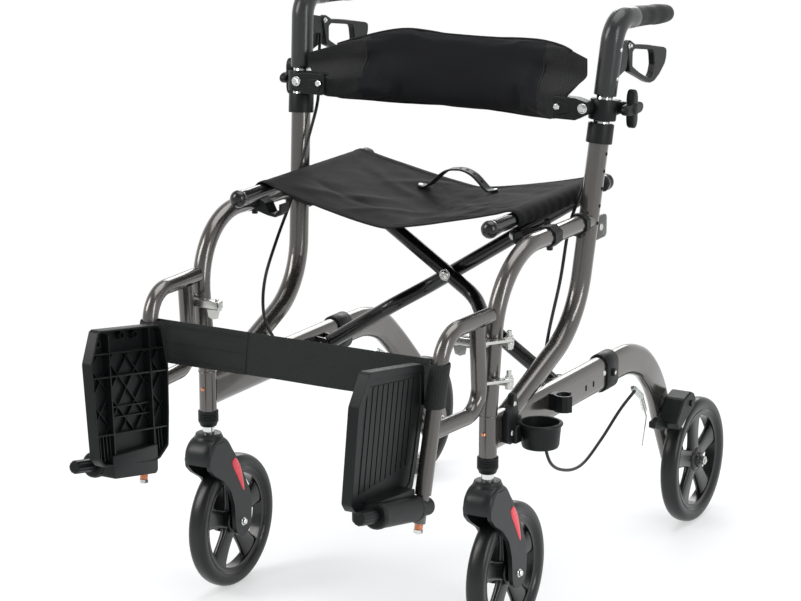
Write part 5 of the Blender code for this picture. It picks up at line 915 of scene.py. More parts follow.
def handle():
    """Casing with a tight bend, grip with a waist and a rounded end, inner tube, and the lever's
    long bracket."""
    made = Shape()
    base, corner = on_upright(CASING_BOTTOM_Z), on_upright(0.8490)
    end = np.array((corner[0], 0.510, 0.8490 - 0.084 * (0.510 - corner[1])))
    path = bent([base, corner, end], (0.036,), 3)
    turn_end = path[-2]
    way, reach = unit(end - turn_end), float(np.linalg.norm(end - turn_end))
    casing = stepped(np.vstack([path[:-1], turn_end + way * reach * 0.155]), 0.02)
    points, size = rounded_ends(casing, CASING_R, 0.0012)
    made.add(swept(points, circle(CASING_R, 40), size=size))
    u = np.linspace(0.135, 1, 60)
    radius = np.interp(u, [0.135, 0.15, 0.17, 0.30, 0.42, 0.55, 0.64, 0.78, 0.88, 0.94, 0.975, 0.992, 1.0],
                       [0.0148, 0.0163, 0.0158, 0.0149, 0.0141, 0.0143, 0.0147, 0.0143, 0.0136, 0.0124,
                        0.0096, 0.0062, 0.0020])
    grooves = 0.0004 * np.cos(2 * np.pi * (u - 0.135) / 0.031) * np.clip((u - 0.2) * 12, 0,
                                                                         1) * np.clip((0.86 - u) * 12, 0, 1)
    grip = turn_end + way * (u * reach)[:, None]
    made.add(swept(grip, circle(1.0, 40), size=radius + grooves), slot=1)
    bar(made, base + UPRIGHT_WAY * 0.004, base - UPRIGHT_WAY * 0.171, 0.0125, steps=40, slot=2)
    top, low = on_upright(0.8150), on_upright(0.7560)
    back = CASING_R - 0.003
    corners = [(top[1] + back, top[2] + 0.004), (top[1] + back + 0.012, top[2]), (0.3792, 0.8076),
               (0.3782, 0.7961), (0.3677, 0.785),
               (0.3637, 0.770), (low[1] + back + 0.012, low[2] + 0.006),
               (low[1] + back + 0.006, low[2] - 0.014), (low[1] + back, low[2] - 0.014)]
    outline = rounded_outline(corners, (0, 0.004, 0.004, 0.004, 0.006, 0.008, 0.004, 0.003, 0))
    x = rear_x(0.79)
    made.add(pillow_plate(outline, "YZ", x - 0.00375, x + 0.00375, 0.0010), slot=3)
    bar(made, (x - 0.0085, *LEVER_PIN), (x + 0.0085, *LEVER_PIN), 0.0026, slot=2)
    for z in (0.806, 0.765):
        at = on_upright(z) + (CASING_R - 0.0006, 0, 0)
        dome(made, at, (1, 0, 0), 0.0034, 0.0016, slot=2)
    return made


def lever():
    """The loop lever: its outer and inner outlines are matched ray by ray from a point in the hand
    hole."""
    y, z = LEVER_PIN
    outer = [(y - 0.007, z + 0.004), (y + 0.004, z + 0.0075), (0.3895, 0.8035), (0.440, 0.7955),
             (0.4970, 0.7845), (0.5040, 0.7810),
             (0.5030, 0.7690), (0.4980, 0.7600), (0.4800, 0.7470), (0.4620, 0.7390), (0.4480, 0.7380),
             (0.4330, 0.7425), (0.4050, 0.7535),
             (0.3800, 0.7630), (0.3740, 0.7655), (0.3735, 0.7705)]
    inner = [(0.3840, 0.7720), (0.4100, 0.7590), (0.4380, 0.7475), (0.4480, 0.7470), (0.4550, 0.7530),
             (0.4600, 0.7640), (0.4570, 0.7800),
             (0.4530, 0.7860), (0.4300, 0.7900), (0.3920, 0.7960), (0.3840, 0.7930)]
    centre = np.array((0.420, 0.7750))
    turns = np.linspace(-np.pi, np.pi, 141)[:-1]
    outside = round_about(rounded_outline(outer, (0.004,) * len(outer)), centre, turns)
    inside = round_about(rounded_outline(inner, (0.004,) * len(inner)), centre, turns)
    x = rear_x(0.78)
    made = Shape().add(loop_plate(outside, inside, "YZ", x - 0.005, x + 0.005, 0.0014), along=True)
    for way in (1, -1):
        dome(made, (x + way * 0.005, y, z), (way, 0, 0), 0.0044, 0.0018, slot=1)
    return made


def height_bush():
    """The bush on the upright's top: a closed profile turned about the upright's slope."""
    top, lip = 0.0285 / UPRIGHT_WAY[2], 0.0190 / UPRIGHT_WAY[2] + 0.0003
    profile = [(0.0131, top), (0.0172, top), (0.0184, top - 0.0006), (0.0188, top - 0.0020), (0.0190, 0.0006),
               (0.0184, 0.0),
               (0.0148, 0.0), (0.0148, lip), (0.0131, lip)]
    return Shape().add(turned(profile, on_upright(0.6730), UPRIGHT_WAY, 44), along=True)


def clamp():
    """The ring on the handle tube, its ear and boss behind, and the lug for the bracket's bolt in
    front."""
    made = Shape()
    centre = on_upright(CLAMP_Z)
    ring = [(0.0129, 0.0150), (0.0184, 0.0150), (0.0196, 0.0143), (0.0200, 0.0130), (0.0200, -0.0130),
            (0.0196, -0.0143), (0.0184, -0.0150), (0.0129, -0.0150)]
    made.add(turned(ring, centre, UPRIGHT_WAY, 44), along=True)
    ear = rounded_outline([(centre[1] + 0.008, CLAMP_Z - 0.0105), (0.3395, CLAMP_Z - 0.0105),
                           (0.3395, CLAMP_Z + 0.0105),
                           (centre[1] + 0.008, CLAMP_Z + 0.0105)], (0, 0.005, 0.005, 0))
    made.add(pillow_plate(ear, "YZ", centre[0] + 0.003, centre[0] + 0.013, 0.0014))
    bar(made, (centre[0] + 0.006, KNOB_Y, CLAMP_Z), (0.2742, KNOB_Y, CLAMP_Z), 0.0092, steps=36)
    bar(made, (BOLT_X, centre[1] - 0.011, BOLT_Z), (BOLT_X, 0.2838, BOLT_Z), 0.0088, steps=36)
    bar(made, (BOLT_X, 0.2609, BOLT_Z), (BOLT_X, 0.2878, BOLT_Z), 0.0030, slot=1)
    washer = [(0, 0.0008), (0.0072, 0.0008), (0.0076, 0.0002), (0.0076, -0.0004)]
    made.add(turned(washer, (BOLT_X, 0.2649, BOLT_Z), (0, -1, 0), 30), caps=False, slot=1)
    bolt(made, (BOLT_X, 0.2649, BOLT_Z), (0, -1, 0), 0.0058, 0.0046, slot=1)
    bar(made, (0.2705, KNOB_Y, CLAMP_Z), (0.2840, KNOB_Y, CLAMP_Z), 0.0030, slot=1)
    return made


def knob():
    """The four-lobed hand knob: its radius swings four times in a turn, its rims roll over, and a
    cap sits on its face."""
    made = Shape()
    a = np.linspace(0, 2 * np.pi, 121)[:-1]
    reach = 0.028 * (0.72 + 0.28 * np.cos(4 * a))
    layers = []
    for inset, x in ((0.0030, 0), (0.0012, 0.0005), (0.0003, 0.0016), (0, 0.0030), (0, 0.0090),
                     (0.0003, 0.0104), (0.0012, 0.0115), (0.0030, 0.0120)):
        flat = np.stack([KNOB_Y + (reach - inset) * np.cos(a), CLAMP_Z + (reach - inset) * np.sin(a)], axis=1)
        layers.append(into_plane(flat, "YZ", 0.2785 + x))
    made.add(np.stack(layers))
    at = (0.2745, KNOB_Y, CLAMP_Z)
    bar(made, at, (0.2825, KNOB_Y, CLAMP_Z), 0.0085)
    cap = [(0, 0.0185), (0.0072, 0.0184), (0.0084, 0.0176), (0.0092, 0.0160), (0.0102, 0.0150),
           (0.0105, 0.0120)]
    made.add(turned(cap, at, (1, 0, 0), 36), caps=False)
    return made


def bracket():
    """The moulded bracket: a solid nose on the clamp's bolt and two cheeks that grip the backrest's
    tab."""
    made = Shape()
    low, high = BOLT_Z - 0.0180, BOLT_Z + 0.0140
    nose = [(BOLT_X + 0.0105 * math.cos(a), BOLT_Z + 0.0105 * math.sin(a))
            for a in np.radians(np.arange(-70, 71, 14))]
    body = [(0.2065, high), (0.2065, low), (BOLT_X - 0.012, low), *nose, (BOLT_X - 0.012, high)]
    made.add(plate(rounded_outline(body, [0, 0, 0.004] + [0] * len(nose) + [0.004]), "XZ", BRACKET_Y - 0.009,
                   BRACKET_Y + 0.009))
    cheek = rounded_outline([(0.1895, high), (0.1895, low), (0.2085, low), (0.2085, high)],
                            (0.005, 0.005, 0, 0))
    for near, far in ((-0.009, -0.0027), (0.0027, 0.009)):
        made.add(plate(cheek, "XZ", BRACKET_Y + near, BRACKET_Y + far))
    rib = rounded_outline([(0.1960, high - 0.006), (0.1960, low + 0.006), (0.2160, low + 0.010),
                           (0.2160, high - 0.010)], (0.003,) * 4)
    made.add(plate(rib, "XZ", BRACKET_Y - 0.0104, BRACKET_Y - 0.008))
    return made


def bracket_bolt():
    """The bracket's bolt: a hexagon head in front, its mark, and a nut behind."""
    made = Shape()
    bolt(made, (0.1975, BRACKET_Y - 0.0104, BOLT_Z), (0, -1, 0), 0.0052, 0.0030)
    dome(made, (0.1975, BRACKET_Y - 0.0134, BOLT_Z), (0, -1, 0), 0.0034, 0.0005)
    bolt(made, (0.1975, BRACKET_Y + 0.009, BOLT_Z), (0, 1, 0), 0.0046, 0.0026)
    return made


def make_handles():
    """Handles, levers, clamps, knobs and the backrest's brackets."""
    both("handle_shell", handle(), [CASING, GRIP, CHROME, MOULDED], "handle_body", "handle", smooth_angle=45)
    both("lever_loop", lever(), [MOULDED, ZINC], "lever_body", "brake_lever")
    both("tube_bush", height_bush(), MOULDED, "frame", "height_collar")
    both("ring_clamp", clamp(), [MOULDED, CHROME], "handle_body", "backrest_clamp")
    both("lobed_knob", knob(), MOULDED, "knob_body", "clamp_knob")
    both("band_bracket", bracket(), MOULDED, "bracket_body", "backrest_bracket", bevel=0.0016)
    both("band_bolt", bracket_bolt(), CHROME, "bracket_body")


# Footrests

def hanger():
    """The footrest's tubes, its hinge plates and the latch box."""
    made = Shape()
    post_x = front_x(0.488) - 0.0035
    low = hanger_at(0.2765)
    main = bent([(post_x + 0.002, -0.0135, 0.487), (hanger_at(0.488)[0], -0.133, 0.488), low], (0.045,), 3)
    made.add(hollow(stepped(main), circle(HANGER_R, 32), circle(0.0091, 32), 0.10))
    end = hanger_at(0.3575) + (0, 0, 0.001)
    made.add(swept(stepped(bent([(post_x, -0.0445, 0.480), (post_x, -0.0355, 0.3575), end], (0.034,), 3)),
                   circle(HANGER_R, 32)))
    for z in ARM_LEVELS:
        start, pin = np.array((post_x, -0.0385)), np.array((ARM_PIN_X, 0.0))
        run = unit(pin - start)
        across = np.array((-run[1], run[0])) * 0.0068
        t = np.linspace(np.pi / 2, -np.pi / 2, 12)[:, None]
        nose = pin + run * 0.0068 * np.cos(t) + across * np.sin(t)
        outline = np.vstack([start + across * 0.9, nose, start - across * 0.9])
        made.add(pillow_plate(outline, "XY", z - 0.002, z + 0.002, 0.0007), slot=1)
        bolt(made, (ARM_PIN_X, 0, z + 0.002), (0, 0, 1), 0.0056, 0.0040, slot=1)
    z = 0.4495
    box = rounded_outline([(post_x - 0.0455, -0.0290), (post_x + 0.004, -0.0290), (post_x + 0.004, -0.0155),
                           (post_x - 0.0455, -0.0155)], (0.003, 0, 0, 0.003))
    made.add(pillow_plate(box, "XY", z - 0.005, z + 0.006, 0.0012), slot=1)
    bar(made, (post_x - 0.0385, -0.0225, z - 0.013), (post_x - 0.0385, -0.0225, z + 0.009), 0.0026, slot=1)
    return made


def barrel_at(y):
    """A point of the footplate's hinge line."""
    return np.array((BARREL_X, y, BARREL_Z + BARREL_SLOPE * (-0.1780 - y)))


def plate_stem():
    """The height tube, the lug of the footplate's pin, the front knob with its grip flutes and the
    stop nut."""
    made = Shape()
    way = unit(hanger_at(0.3) - hanger_at(0.4))
    bar(made, hanger_at(0.345), hanger_at(0.238), 0.0085, steps=36)
    axis = unit((0, -1, BARREL_SLOPE))
    bar(made, barrel_at(-0.1884), barrel_at(-0.1590), 0.0125, steps=36, slot=1)
    bar(made, barrel_at(-0.1790), barrel_at(-0.3280), 0.0052, slot=2)
    start = barrel_at(-0.2996)
    reach = 0.0404 / -axis[1]
    knob_turns = np.linspace(0, 2 * np.pi, 49)[:-1]
    side = unit(np.cross(axis, (1, 0, 0)))
    ring = np.cos(knob_turns)[:, None] * side + np.sin(knob_turns)[:, None] * np.cross(axis, side)
    layers = []
    for depth, radius in ((0, 0.0080), (0.001, 0.0091), (reach - 0.004, 0.0093), (reach - 0.0012, 0.0086),
                          (reach, 0.0070)):
        swing = radius + 0.00035 * np.cos(12 * knob_turns)
        layers.append(start + axis * depth + ring * swing[:, None])
    made.add(np.stack(layers), slot=1)
    low = hanger_at(0.238)
    bar(made, low - way * 0.004, low + way * 0.0085, 0.0055, slot=3)
    for turn in range(4):
        made.add(turned([(0.0050, 0), (0.0060, 0.0006), (0.0050, 0.0012)],
                        low + way * (0.0012 + 0.0018 * turn), way, 24), slot=3)
    bolt(made, low + way * 0.0085, way, 0.0064, 0.0050, slot=2)
    dome(made, low + way * 0.0134, way, 0.0042, 0.0014, slot=2)
    return made


TREAD = [(-0.1860, 0.2680), (-0.1640, 0.2800), (-0.1560, 0.3260), (-0.1480, 0.3930), (-0.1560, 0.4480),
         (-0.1630, 0.4525),
         (-0.2980, 0.4745), (-0.3035, 0.4730), (-0.3258, 0.4330), (-0.3272, 0.3020), (-0.3170, 0.2900),
         (-0.2000, 0.2670)]
TREAD_ROUNDS = (0.004, 0.006, 0.03, 0.03, 0.006, 0.003, 0.003, 0.004, 0.010, 0.008, 0.008, 0.004)


def tread_outline(inset):
    """The footplate's outline with rounded corners, drawn in towards its middle by about the given
    amount."""
    outline = rounded_outline(TREAD, TREAD_ROUNDS, 5)
    middle = np.array((-0.2370, 0.3700))
    return middle + (outline - middle) * (1 - inset / np.array((0.088, 0.100)))


def lattice_line(start, way, inset):
    """The stretch of a straight line inside the footplate's outline, from the first to the last
    edge that it meets."""
    outline = tread_outline(inset)
    edge = np.roll(outline, -1, axis=0) - outline
    start, way = np.array(start, float), unit(np.array(way, float))
    cross = way[0] * edge[:, 1] - way[1] * edge[:, 0]
    gap = outline - start
    share = (gap[:, 0] * way[1] - gap[:, 1] * way[0]) / cross
    along_line = (gap[:, 0] * edge[:, 1] - gap[:, 1] * edge[:, 0]) / cross
    hits = along_line[(share >= 0) & (share < 1)]
    return (start + way * hits.min(), start + way * hits.max()) if len(hits) > 1 else None


def footplate():
    """The upturned plate: a rim loop, a skin, a raised border and ridges on the tread, and a
    diamond lattice between ribs inside; then x = x + 0.0774 (z - 0.31) leans it, and the hinge
    barrel and its root are added upright."""
    face = 0.2050
    made = Shape()
    made.add(loop_plate(tread_outline(0), tread_outline(0.0030), "YZ", face - 0.016, face, 0.0009),
             along=True)
    made.add(plate(tread_outline(0.0015), "YZ", face - 0.0038, face - 0.0014))
    made.add(loop_plate(tread_outline(0.0010), tread_outline(0.0110), "YZ", face - 0.0020, face - 0.0001,
                        0.0006), along=True)

    def strip(start, end, wide, near, far, edge=0.0003):
        """A straight rib or ridge of the plate, with softened edges."""
        start, end = np.array(start, float), np.array(end, float)
        way = unit(end - start)
        side = np.array((-way[1], way[0])) * wide / 2
        made.add(pillow_plate(np.array([start - side, end - side, end + side, start + side]), "YZ",
                              face - far, face - near, edge))

    for turn in range(10):
        y = -0.3040 + 0.0135 * turn
        strip((y, 0.3120 + 0.0007 * turn), (y + 0.0060, 0.4545 - 0.0019 * turn), 0.0106, 0.0004, 0.0020)
    for y, lean in ((-0.2895, 0.0090), (-0.1960, 0.0100)):
        strip((y, 0.2790), (y + lean, 0.4650 - (y + 0.29) * 0.1), 0.0024, 0.0030, 0.0152)
    for z, deep in ((0.3205, 0.0150), (0.3998, 0.0146), (0.4322, 0.0146)):
        strip(*lattice_line((-0.2400, z), (1, -0.163), 0.0020), 0.0018, 0.0030, deep)
    for z in (0.3426, 0.3569):
        strip((-0.2880, z + 0.0078), (-0.1920, z - 0.0078), 0.0014, 0.0030, 0.0110)
    for rise in (1, -1):
        for turn in range(-4, 5):
            ends = lattice_line((-0.2400 + 0.0410 * turn, 0.3816), (0.0410, 0.0440 * rise - 0.0067), 0.0020)
            if ends is None:
                continue
            ends = np.array(ends)
            level = ends[:, 1] + 0.163 * (ends[:, 0] + 0.24)
            share = np.clip((np.array((0.3215, 0.4312)) - level[0]) / (level[1] - level[0]), 0, 1)
            low, high = ends[0] + (ends[1] - ends[0]) * share[:, None]
            if np.linalg.norm(high - low) > 0.004:
                strip(low, high, 0.0014, 0.0030, 0.0080)
    for y in (-0.3165, -0.3090, -0.3015, -0.2940, -0.1880, -0.1810, -0.1740):
        strip((y, 0.2960 if y < -0.25 else 0.2780), (y + 0.0004, 0.3205 + (-0.24 - y) * 0.163), 0.0016,
              0.0030, 0.0120)
    for y, z in ((-0.2450, 0.4560), (-0.2150, 0.4500), (-0.3010, 0.4560)):
        ring = [(0.0056, -0.0005), (0.0056, 0.0085), (0.0040, 0.0085), (0.0040, -0.0005)]
        made.add(turned(ring, (face - 0.0035, y, z), (-1, 0, 0), 24), along=True)
    made.points = [p + np.stack([0.0774 * (p[:, 2] - 0.31), 0 * p[:, 0], 0 * p[:, 0]], axis=1)
                   for p in made.points]
    bar(made, barrel_at(-0.1890), barrel_at(-0.2990), 0.0175, steps=48, lip=0.0022)
    for y in (-0.1960, -0.2910):
        made.add(turned([(0.0174, -0.0030), (0.0181, -0.0022), (0.0181, 0.0022), (0.0174, 0.0030)],
                        barrel_at(y), (0, -1, BARREL_SLOPE), 48))
    low = [(-0.2970, 0.2680), (-0.1915, 0.2478), (-0.1915, 0.2900), (-0.2970, 0.3000)]
    made.add(pillow_plate(rounded_outline(low, (0.006, 0.006, 0.002, 0.002), 5), "YZ", face - 0.0185, 0.2213,
                          0.0012))
    return made


def make_footrests():
    """Hangers, height stems and footplates."""
    both("footrest_tubes", hanger(), [PAINT, ZINC], "hanger_body", "footrest_hanger")
    both("footplate_post", plate_stem(), [PAINT, MOULDED, CHROME, COPPER], "stem_body", "footplate_stem")
    both("footplate_moulding", footplate(), MOULDED, "plate_body", "footplate")


# Cross brace

def brace_at(distance, lower_side=1):
    """A point of the brace's plane, measured from its centre pin down to one side."""
    return lower_side * distance * math.cos(CROSS_ANGLE), CENTRE_Z - distance * math.sin(CROSS_ANGLE)


def brace_tube(front):
    """One cross tube, its foot eye and its pins; its seat rail is made by rail()."""
    made = Shape()
    side = 1 if front else -1
    upper_y, low_y = (0.307, 0.262) if front else (0.331, 0.294)
    full = RAIL_X / math.cos(CROSS_ANGLE)
    spots = [(brace_at(0.004 - full, side), upper_y), (brace_at(0.055, side), upper_y),
             (brace_at(0.105, side), low_y), (brace_at(full, side), low_y)]
    path = bent([(p[0], y, p[1]) for p, y in spots], (0.05, 0.05), 3)
    made.add(swept(stepped(path), circle(CROSS_R, 32), across=(0, 1, 0)))
    foot = spots[-1][0]
    made.add(turned([(0, 0), (0.0100, 0), (CROSS_R, 0.001), (CROSS_R, 0.021), (0.0100, 0.022), (0, 0.022)],
                    (foot[0], low_y - CROSS_R, foot[1]), (0, 1, 0), 36), caps=False)
    if front:
        bar(made, (0, 0.295, CENTRE_Z), (0, 0.348, CENTRE_Z), 0.0035, slot=1)
        made.add(turned([(0, 0.0012), (0.0086, 0.0012), (0.0090, 0.0006), (0.0090, 0)], (0, 0.2962, CENTRE_Z),
                        (0, -1, 0), 30), caps=False, slot=1)
        dome(made, (0, 0.2950, CENTRE_Z), (0, -1, 0), 0.0070, 0.0034, slot=1)
        bolt(made, (0, 0.3425, CENTRE_Z), (0, 1, 0), 0.0060, 0.0045, slot=1)
    at = brace_at(-LINK_PIN, side)
    bar(made, (at[0], upper_y - 0.0155, at[1]), (at[0], upper_y - 0.005, at[1]), 0.0035, slot=1)
    dome(made, (at[0], upper_y - 0.0143, at[1]), (0, -1, 0), 0.0064, 0.0034, slot=1)
    return made


def rail(side):
    """A seat rail with a mushroom cap at each end."""
    x = side * RAIL_X
    made = Shape()
    bar(made, (x, 0.046, RAIL_Z), (x, 0.422, RAIL_Z), RAIL_R, steps=36)
    a = np.linspace(0, np.pi / 2, 9)
    head = np.stack([0.0128 * np.cos(a), 0.012 * np.sin(a)], axis=1)
    profile = [(0, -0.014), (0.0116, -0.014), (0.0119, -0.0065), (0.0116, -0.0030), (0.0124, -0.0016),
               *head.tolist()]
    for y, way in ((0.050, -1), (0.418, 1)):
        made.add(turned(profile, (x, y, RAIL_Z), (0, way, 0), 36), caps=False)
    return made


def link_bar(side):
    """A flat bar with round ends from a cross tube's bolt out towards the side frame."""
    upper_y = 0.331 if side > 0 else 0.307
    x0, z0 = brace_at(-LINK_PIN, -side)
    a = math.radians(13.3)
    way = np.array((side * math.cos(a), math.sin(a)))
    across = np.array((-way[1], way[0])) * 0.0075
    start = np.array((x0, z0))
    end = start + way * 0.113
    t = np.linspace(-np.pi / 2, np.pi / 2, 14)[:, None]
    outline = np.vstack([end + way * 0.0075 * np.cos(t) + across * np.sin(t),
                         start - way * 0.0075 * np.cos(t) - across * np.sin(t)])
    made = Shape().add(pillow_plate(outline, "XZ", upper_y - 0.0140, upper_y - 0.0113, 0.0006))
    bolt(made, (end[0], upper_y - 0.0140, end[1]), (0, -1, 0), 0.0052, 0.0018, slot=1)
    return made


def make_brace():
    """The two cross tubes, the seat rails and the link bars."""
    put("brace_front", brace_tube(True), [BLACK_PAINT, ZINC], "cross_front", replaces="cross_tube_front")
    put("brace_rear", brace_tube(False), [BLACK_PAINT, ZINC], "cross_rear", replaces="cross_tube_rear")
    put("rail_tube_left", rail(-1), BLACK_PAINT, "cross_front", replaces="seat_rail_left")
    put("rail_tube_right", rail(1), BLACK_PAINT, "cross_rear", replaces="seat_rail_right")
    put("link_bar_right", link_bar(1), [BLACK_PAINT, ZINC], "link_right", replaces="cross_link_right")
    put("link_bar_left", link_bar(-1), [BLACK_PAINT, ZINC], "link_left", replaces="cross_link_left")


# Cup holder and cables

def cup():
    """The cup is a closed profile turned about an upright line, with rolled rim; a winged bracket
    and an arm hold it."""
    made = Shape()
    profile = [(0.0264, 0.3215), (0.0290, 0.3219), (0.0310, 0.3209), (0.0316, 0.3192), (0.0308, 0.3176),
               (0.0290, 0.3170), (0.0278, 0.3050),
               (0.0266, 0.2900), (0.0252, 0.2862), (0.0235, 0.2855), (0, 0.2855), (0, 0.2881),
               (0.0222, 0.2885), (0.0240, 0.2915), (0.0252, 0.3050)]
    made.add(turned(profile, (0.2745, 0.0700, 0), (0, 0, 1), 48), along=True)
    face = CASTER_X + OVAL_W / 2 + 0.0003
    wing = [(0.0170, 0.3010), (0.0280, 0.2955), (0.0470, 0.3050), (0.0500, 0.3300), (0.0440, 0.3640),
            (0.0330, 0.3700), (0.0300, 0.3500), (0.0170, 0.3440)]
    made.add(pillow_plate(rounded_outline(wing, (0.004, 0.005, 0.006, 0.006, 0.006, 0.004, 0.006, 0.005)),
                          "YZ", face, face + 0.009, 0.0020))
    arm = rounded_outline([(face + 0.001, 0.0330), (face + 0.014, 0.0330), (face + 0.014, 0.0490),
                           (face + 0.001, 0.0490)], (0, 0.003, 0, 0))
    made.add(pillow_plate(arm, "XY", 0.2960, 0.3200, 0.0015))
    for y, z in ((0.0300, 0.3120), (0.0370, 0.3520)):
        dome(made, (face + 0.009, y, z), (1, 0, 0), 0.0040, 0.0016, slot=1)
    return made


CABLE_END = (0.2290, 0.4830, 0.2560)
CABLE_TOP = [(0.2485, 0.3560, 0.7860), (0.2480, 0.3510, 0.7600), (0.2430, 0.3400, 0.7250)]
CABLE_NEAR = [(0.2330, 0.3230, 0.6700), (0.2225, 0.2950, 0.6000), (0.2165, 0.2700, 0.5500),
              (0.2125, 0.2524, 0.4767), (0.2110, 0.2180, 0.4000),
              (0.2105, 0.2020, 0.3300), (0.2115, 0.2070, 0.2600), (0.2120, 0.2287, 0.2096),
              (0.2120, 0.2791, 0.1834), (0.2120, 0.3367, 0.1767),
              (0.2130, 0.3981, 0.1977), (0.2190, 0.4520, 0.2320)]
CABLE_FAR = [(0.2280, 0.3120, 0.6900), (0.2240, 0.2840, 0.6500), (0.2235, 0.2520, 0.6010),
             (0.2225, 0.2230, 0.5535), (0.2150, 0.1702, 0.5049),
             (0.2110, 0.1310, 0.4562), (0.2110, 0.1240, 0.4100), (0.2110, 0.1400, 0.3740),
             (0.2110, 0.1900, 0.3200), (0.2110, 0.2400, 0.2780),
             (0.2120, 0.3200, 0.2500), (0.2180, 0.4200, 0.2500)]


def make_cables():
    """Each brake cable is one smooth line cut in two lengths at 0.56 m height: the upper runs down
    from the handle, the lower on to the sliding leg's brake."""
    for side, lower, mirror in (("right", CABLE_NEAR, 1), ("left", CABLE_FAR, -1)):
        line = smooth(CABLE_TOP + lower + [CABLE_END], 150) * (mirror, 1, 1)
        cut = int(np.argmin(np.abs(line[:, 2] - 0.56)))
        upper, low = line[:cut + 1], line[cut:]
        top = put("cable_upper_" + side, Shape().add(swept(upper, circle(0.0024, 14))), JACKET, None,
                  replaces="brake_cable_" + side)
        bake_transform(top)
        tail = put("cable_lower_" + side, Shape().add(swept(low, circle(0.0024, 14))), JACKET, None)
        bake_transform(tail)


def brake_linkage():
    """The white cable end, the coil spring on the bare wire, and the wire's cut tail at the block."""
    made = Shape()
    start, end = np.array((0.2255, 0.4872, 0.2575)), np.array((0.2225, 0.5205, 0.2375))
    bar(made, start, end, 0.0050, slot=0)
    bar(made, start - unit(end - start) * 0.007, start, 0.0036, slot=1)
    far = np.array((0.2240, 0.5390, 0.1990))
    bar(made, end - unit(far - end) * 0.002, far, 0.0012, slot=1)
    t = np.linspace(0, 9 * 2 * np.pi, 220)
    way = unit(far - end)
    side = unit(np.cross(way, (1, 0, 0)))
    other = np.cross(way, side)
    coil = end + way * (0.003 + 0.026 * t / t[-1])[:,
            None] + 0.0034 * (np.cos(t)[:, None] * side + np.sin(t)[:, None] * other)
    made.add(swept(coil, circle(0.0006, 8), across=way), slot=1)
    bar(made, far, (0.2240, 0.5260, 0.1560), 0.0009, slot=1)
    return made


def make_extras():
    """The cup holder and the brakes' cables and wires."""
    put("cup_ring", cup(), [MOULDED, ZINC], "frame_right", replaces="cup_holder")
    make_cables()
    both("brake_wire", brake_linkage(), [FERRULE, ZINC], "leg")


# Soft pieces

def creases(x, y, lines):
    """Height of a few soft ridges and valleys: each line adds its height times a bell of the
    distance to it, faded towards its ends."""
    height = np.zeros_like(x)
    for x0, y0, x1, y1, width, rise in lines:
        start, run = np.array((x0, y0)), np.array((x1 - x0, y1 - y0))
        length = float(np.hypot(*run))
        way = run / length
        t = (x - start[0]) * way[0] + (y - start[1]) * way[1]
        off = (x - start[0]) * -way[1] + (y - start[1]) * way[0]
        off = off + 0.004 * np.sin(t / length * 5.0 + x0 * 40)
        fade = np.clip(t / length * 4, 0, 1) * np.clip((1 - t / length) * 4, 0, 1)
        height += rise * fade * np.exp(-(off / width) ** 2)
    return height


def crumple(x, y, size, rise):
    """Fine crumpling: six sine waves that run in different directions and bend each other."""
    total = np.zeros_like(x)
    for i, (turn, stretch) in enumerate(((0.3, 1.0), (1.1, 1.4), (2.0, 0.8), (2.6, 1.9), (0.8, 2.4),
                                         (1.7, 2.9))):
        run = (x * math.cos(turn) + y * math.sin(turn)) / size * stretch
        cross = (y * math.cos(turn) - x * math.sin(turn)) / size * stretch
        total += np.sin(run + 1.7 * np.sin(cross * 0.6 + i) + 2.1 * i) / (1 + 0.5 * i)
    return total * rise


SEAT_LINES = [(0.010, 0.120, 0.045, 0.400, 0.016, -0.0045), (0.180, 0.118, 0.020, 0.300, 0.011, 0.0032),
              (0.150, 0.112, 0.000, 0.180, 0.010, 0.0026),
              (-0.190, 0.125, -0.030, 0.250, 0.012, 0.0028), (-0.185, 0.200, -0.040, 0.180, 0.009, -0.0022),
              (-0.170, 0.350, -0.020, 0.270, 0.012, 0.0024),
              (0.060, 0.395, 0.185, 0.330, 0.010, 0.0026), (0.070, 0.350, 0.190, 0.260, 0.012, -0.0020),
              (0.090, 0.150, 0.190, 0.210, 0.008, 0.0022),
              (-0.090, 0.118, 0.010, 0.230, 0.009, 0.0020), (-0.120, 0.290, -0.020, 0.390, 0.010, 0.0020),
              (0.030, 0.200, 0.120, 0.260, 0.008, 0.0018)]


def seat_base(x, y):
    """The CAD sling's height: level at the rails, sagging to a shallow fold, with soft ripples."""
    u = np.abs(x) / RAIL_X
    v = (y - 0.112) / 0.293
    sag = 0.046 * (1.0 - 0.14 * v) * (1.0 - np.clip(u, 0, 1) ** 1.25)
    return RAIL_Z + RAIL_R + 0.0024 - sag + 0.0018 * np.sin(9.0 * v + 2.0 * x / RAIL_X) * np.clip(1 - u ** 2,
                                                                                                  0, 1)


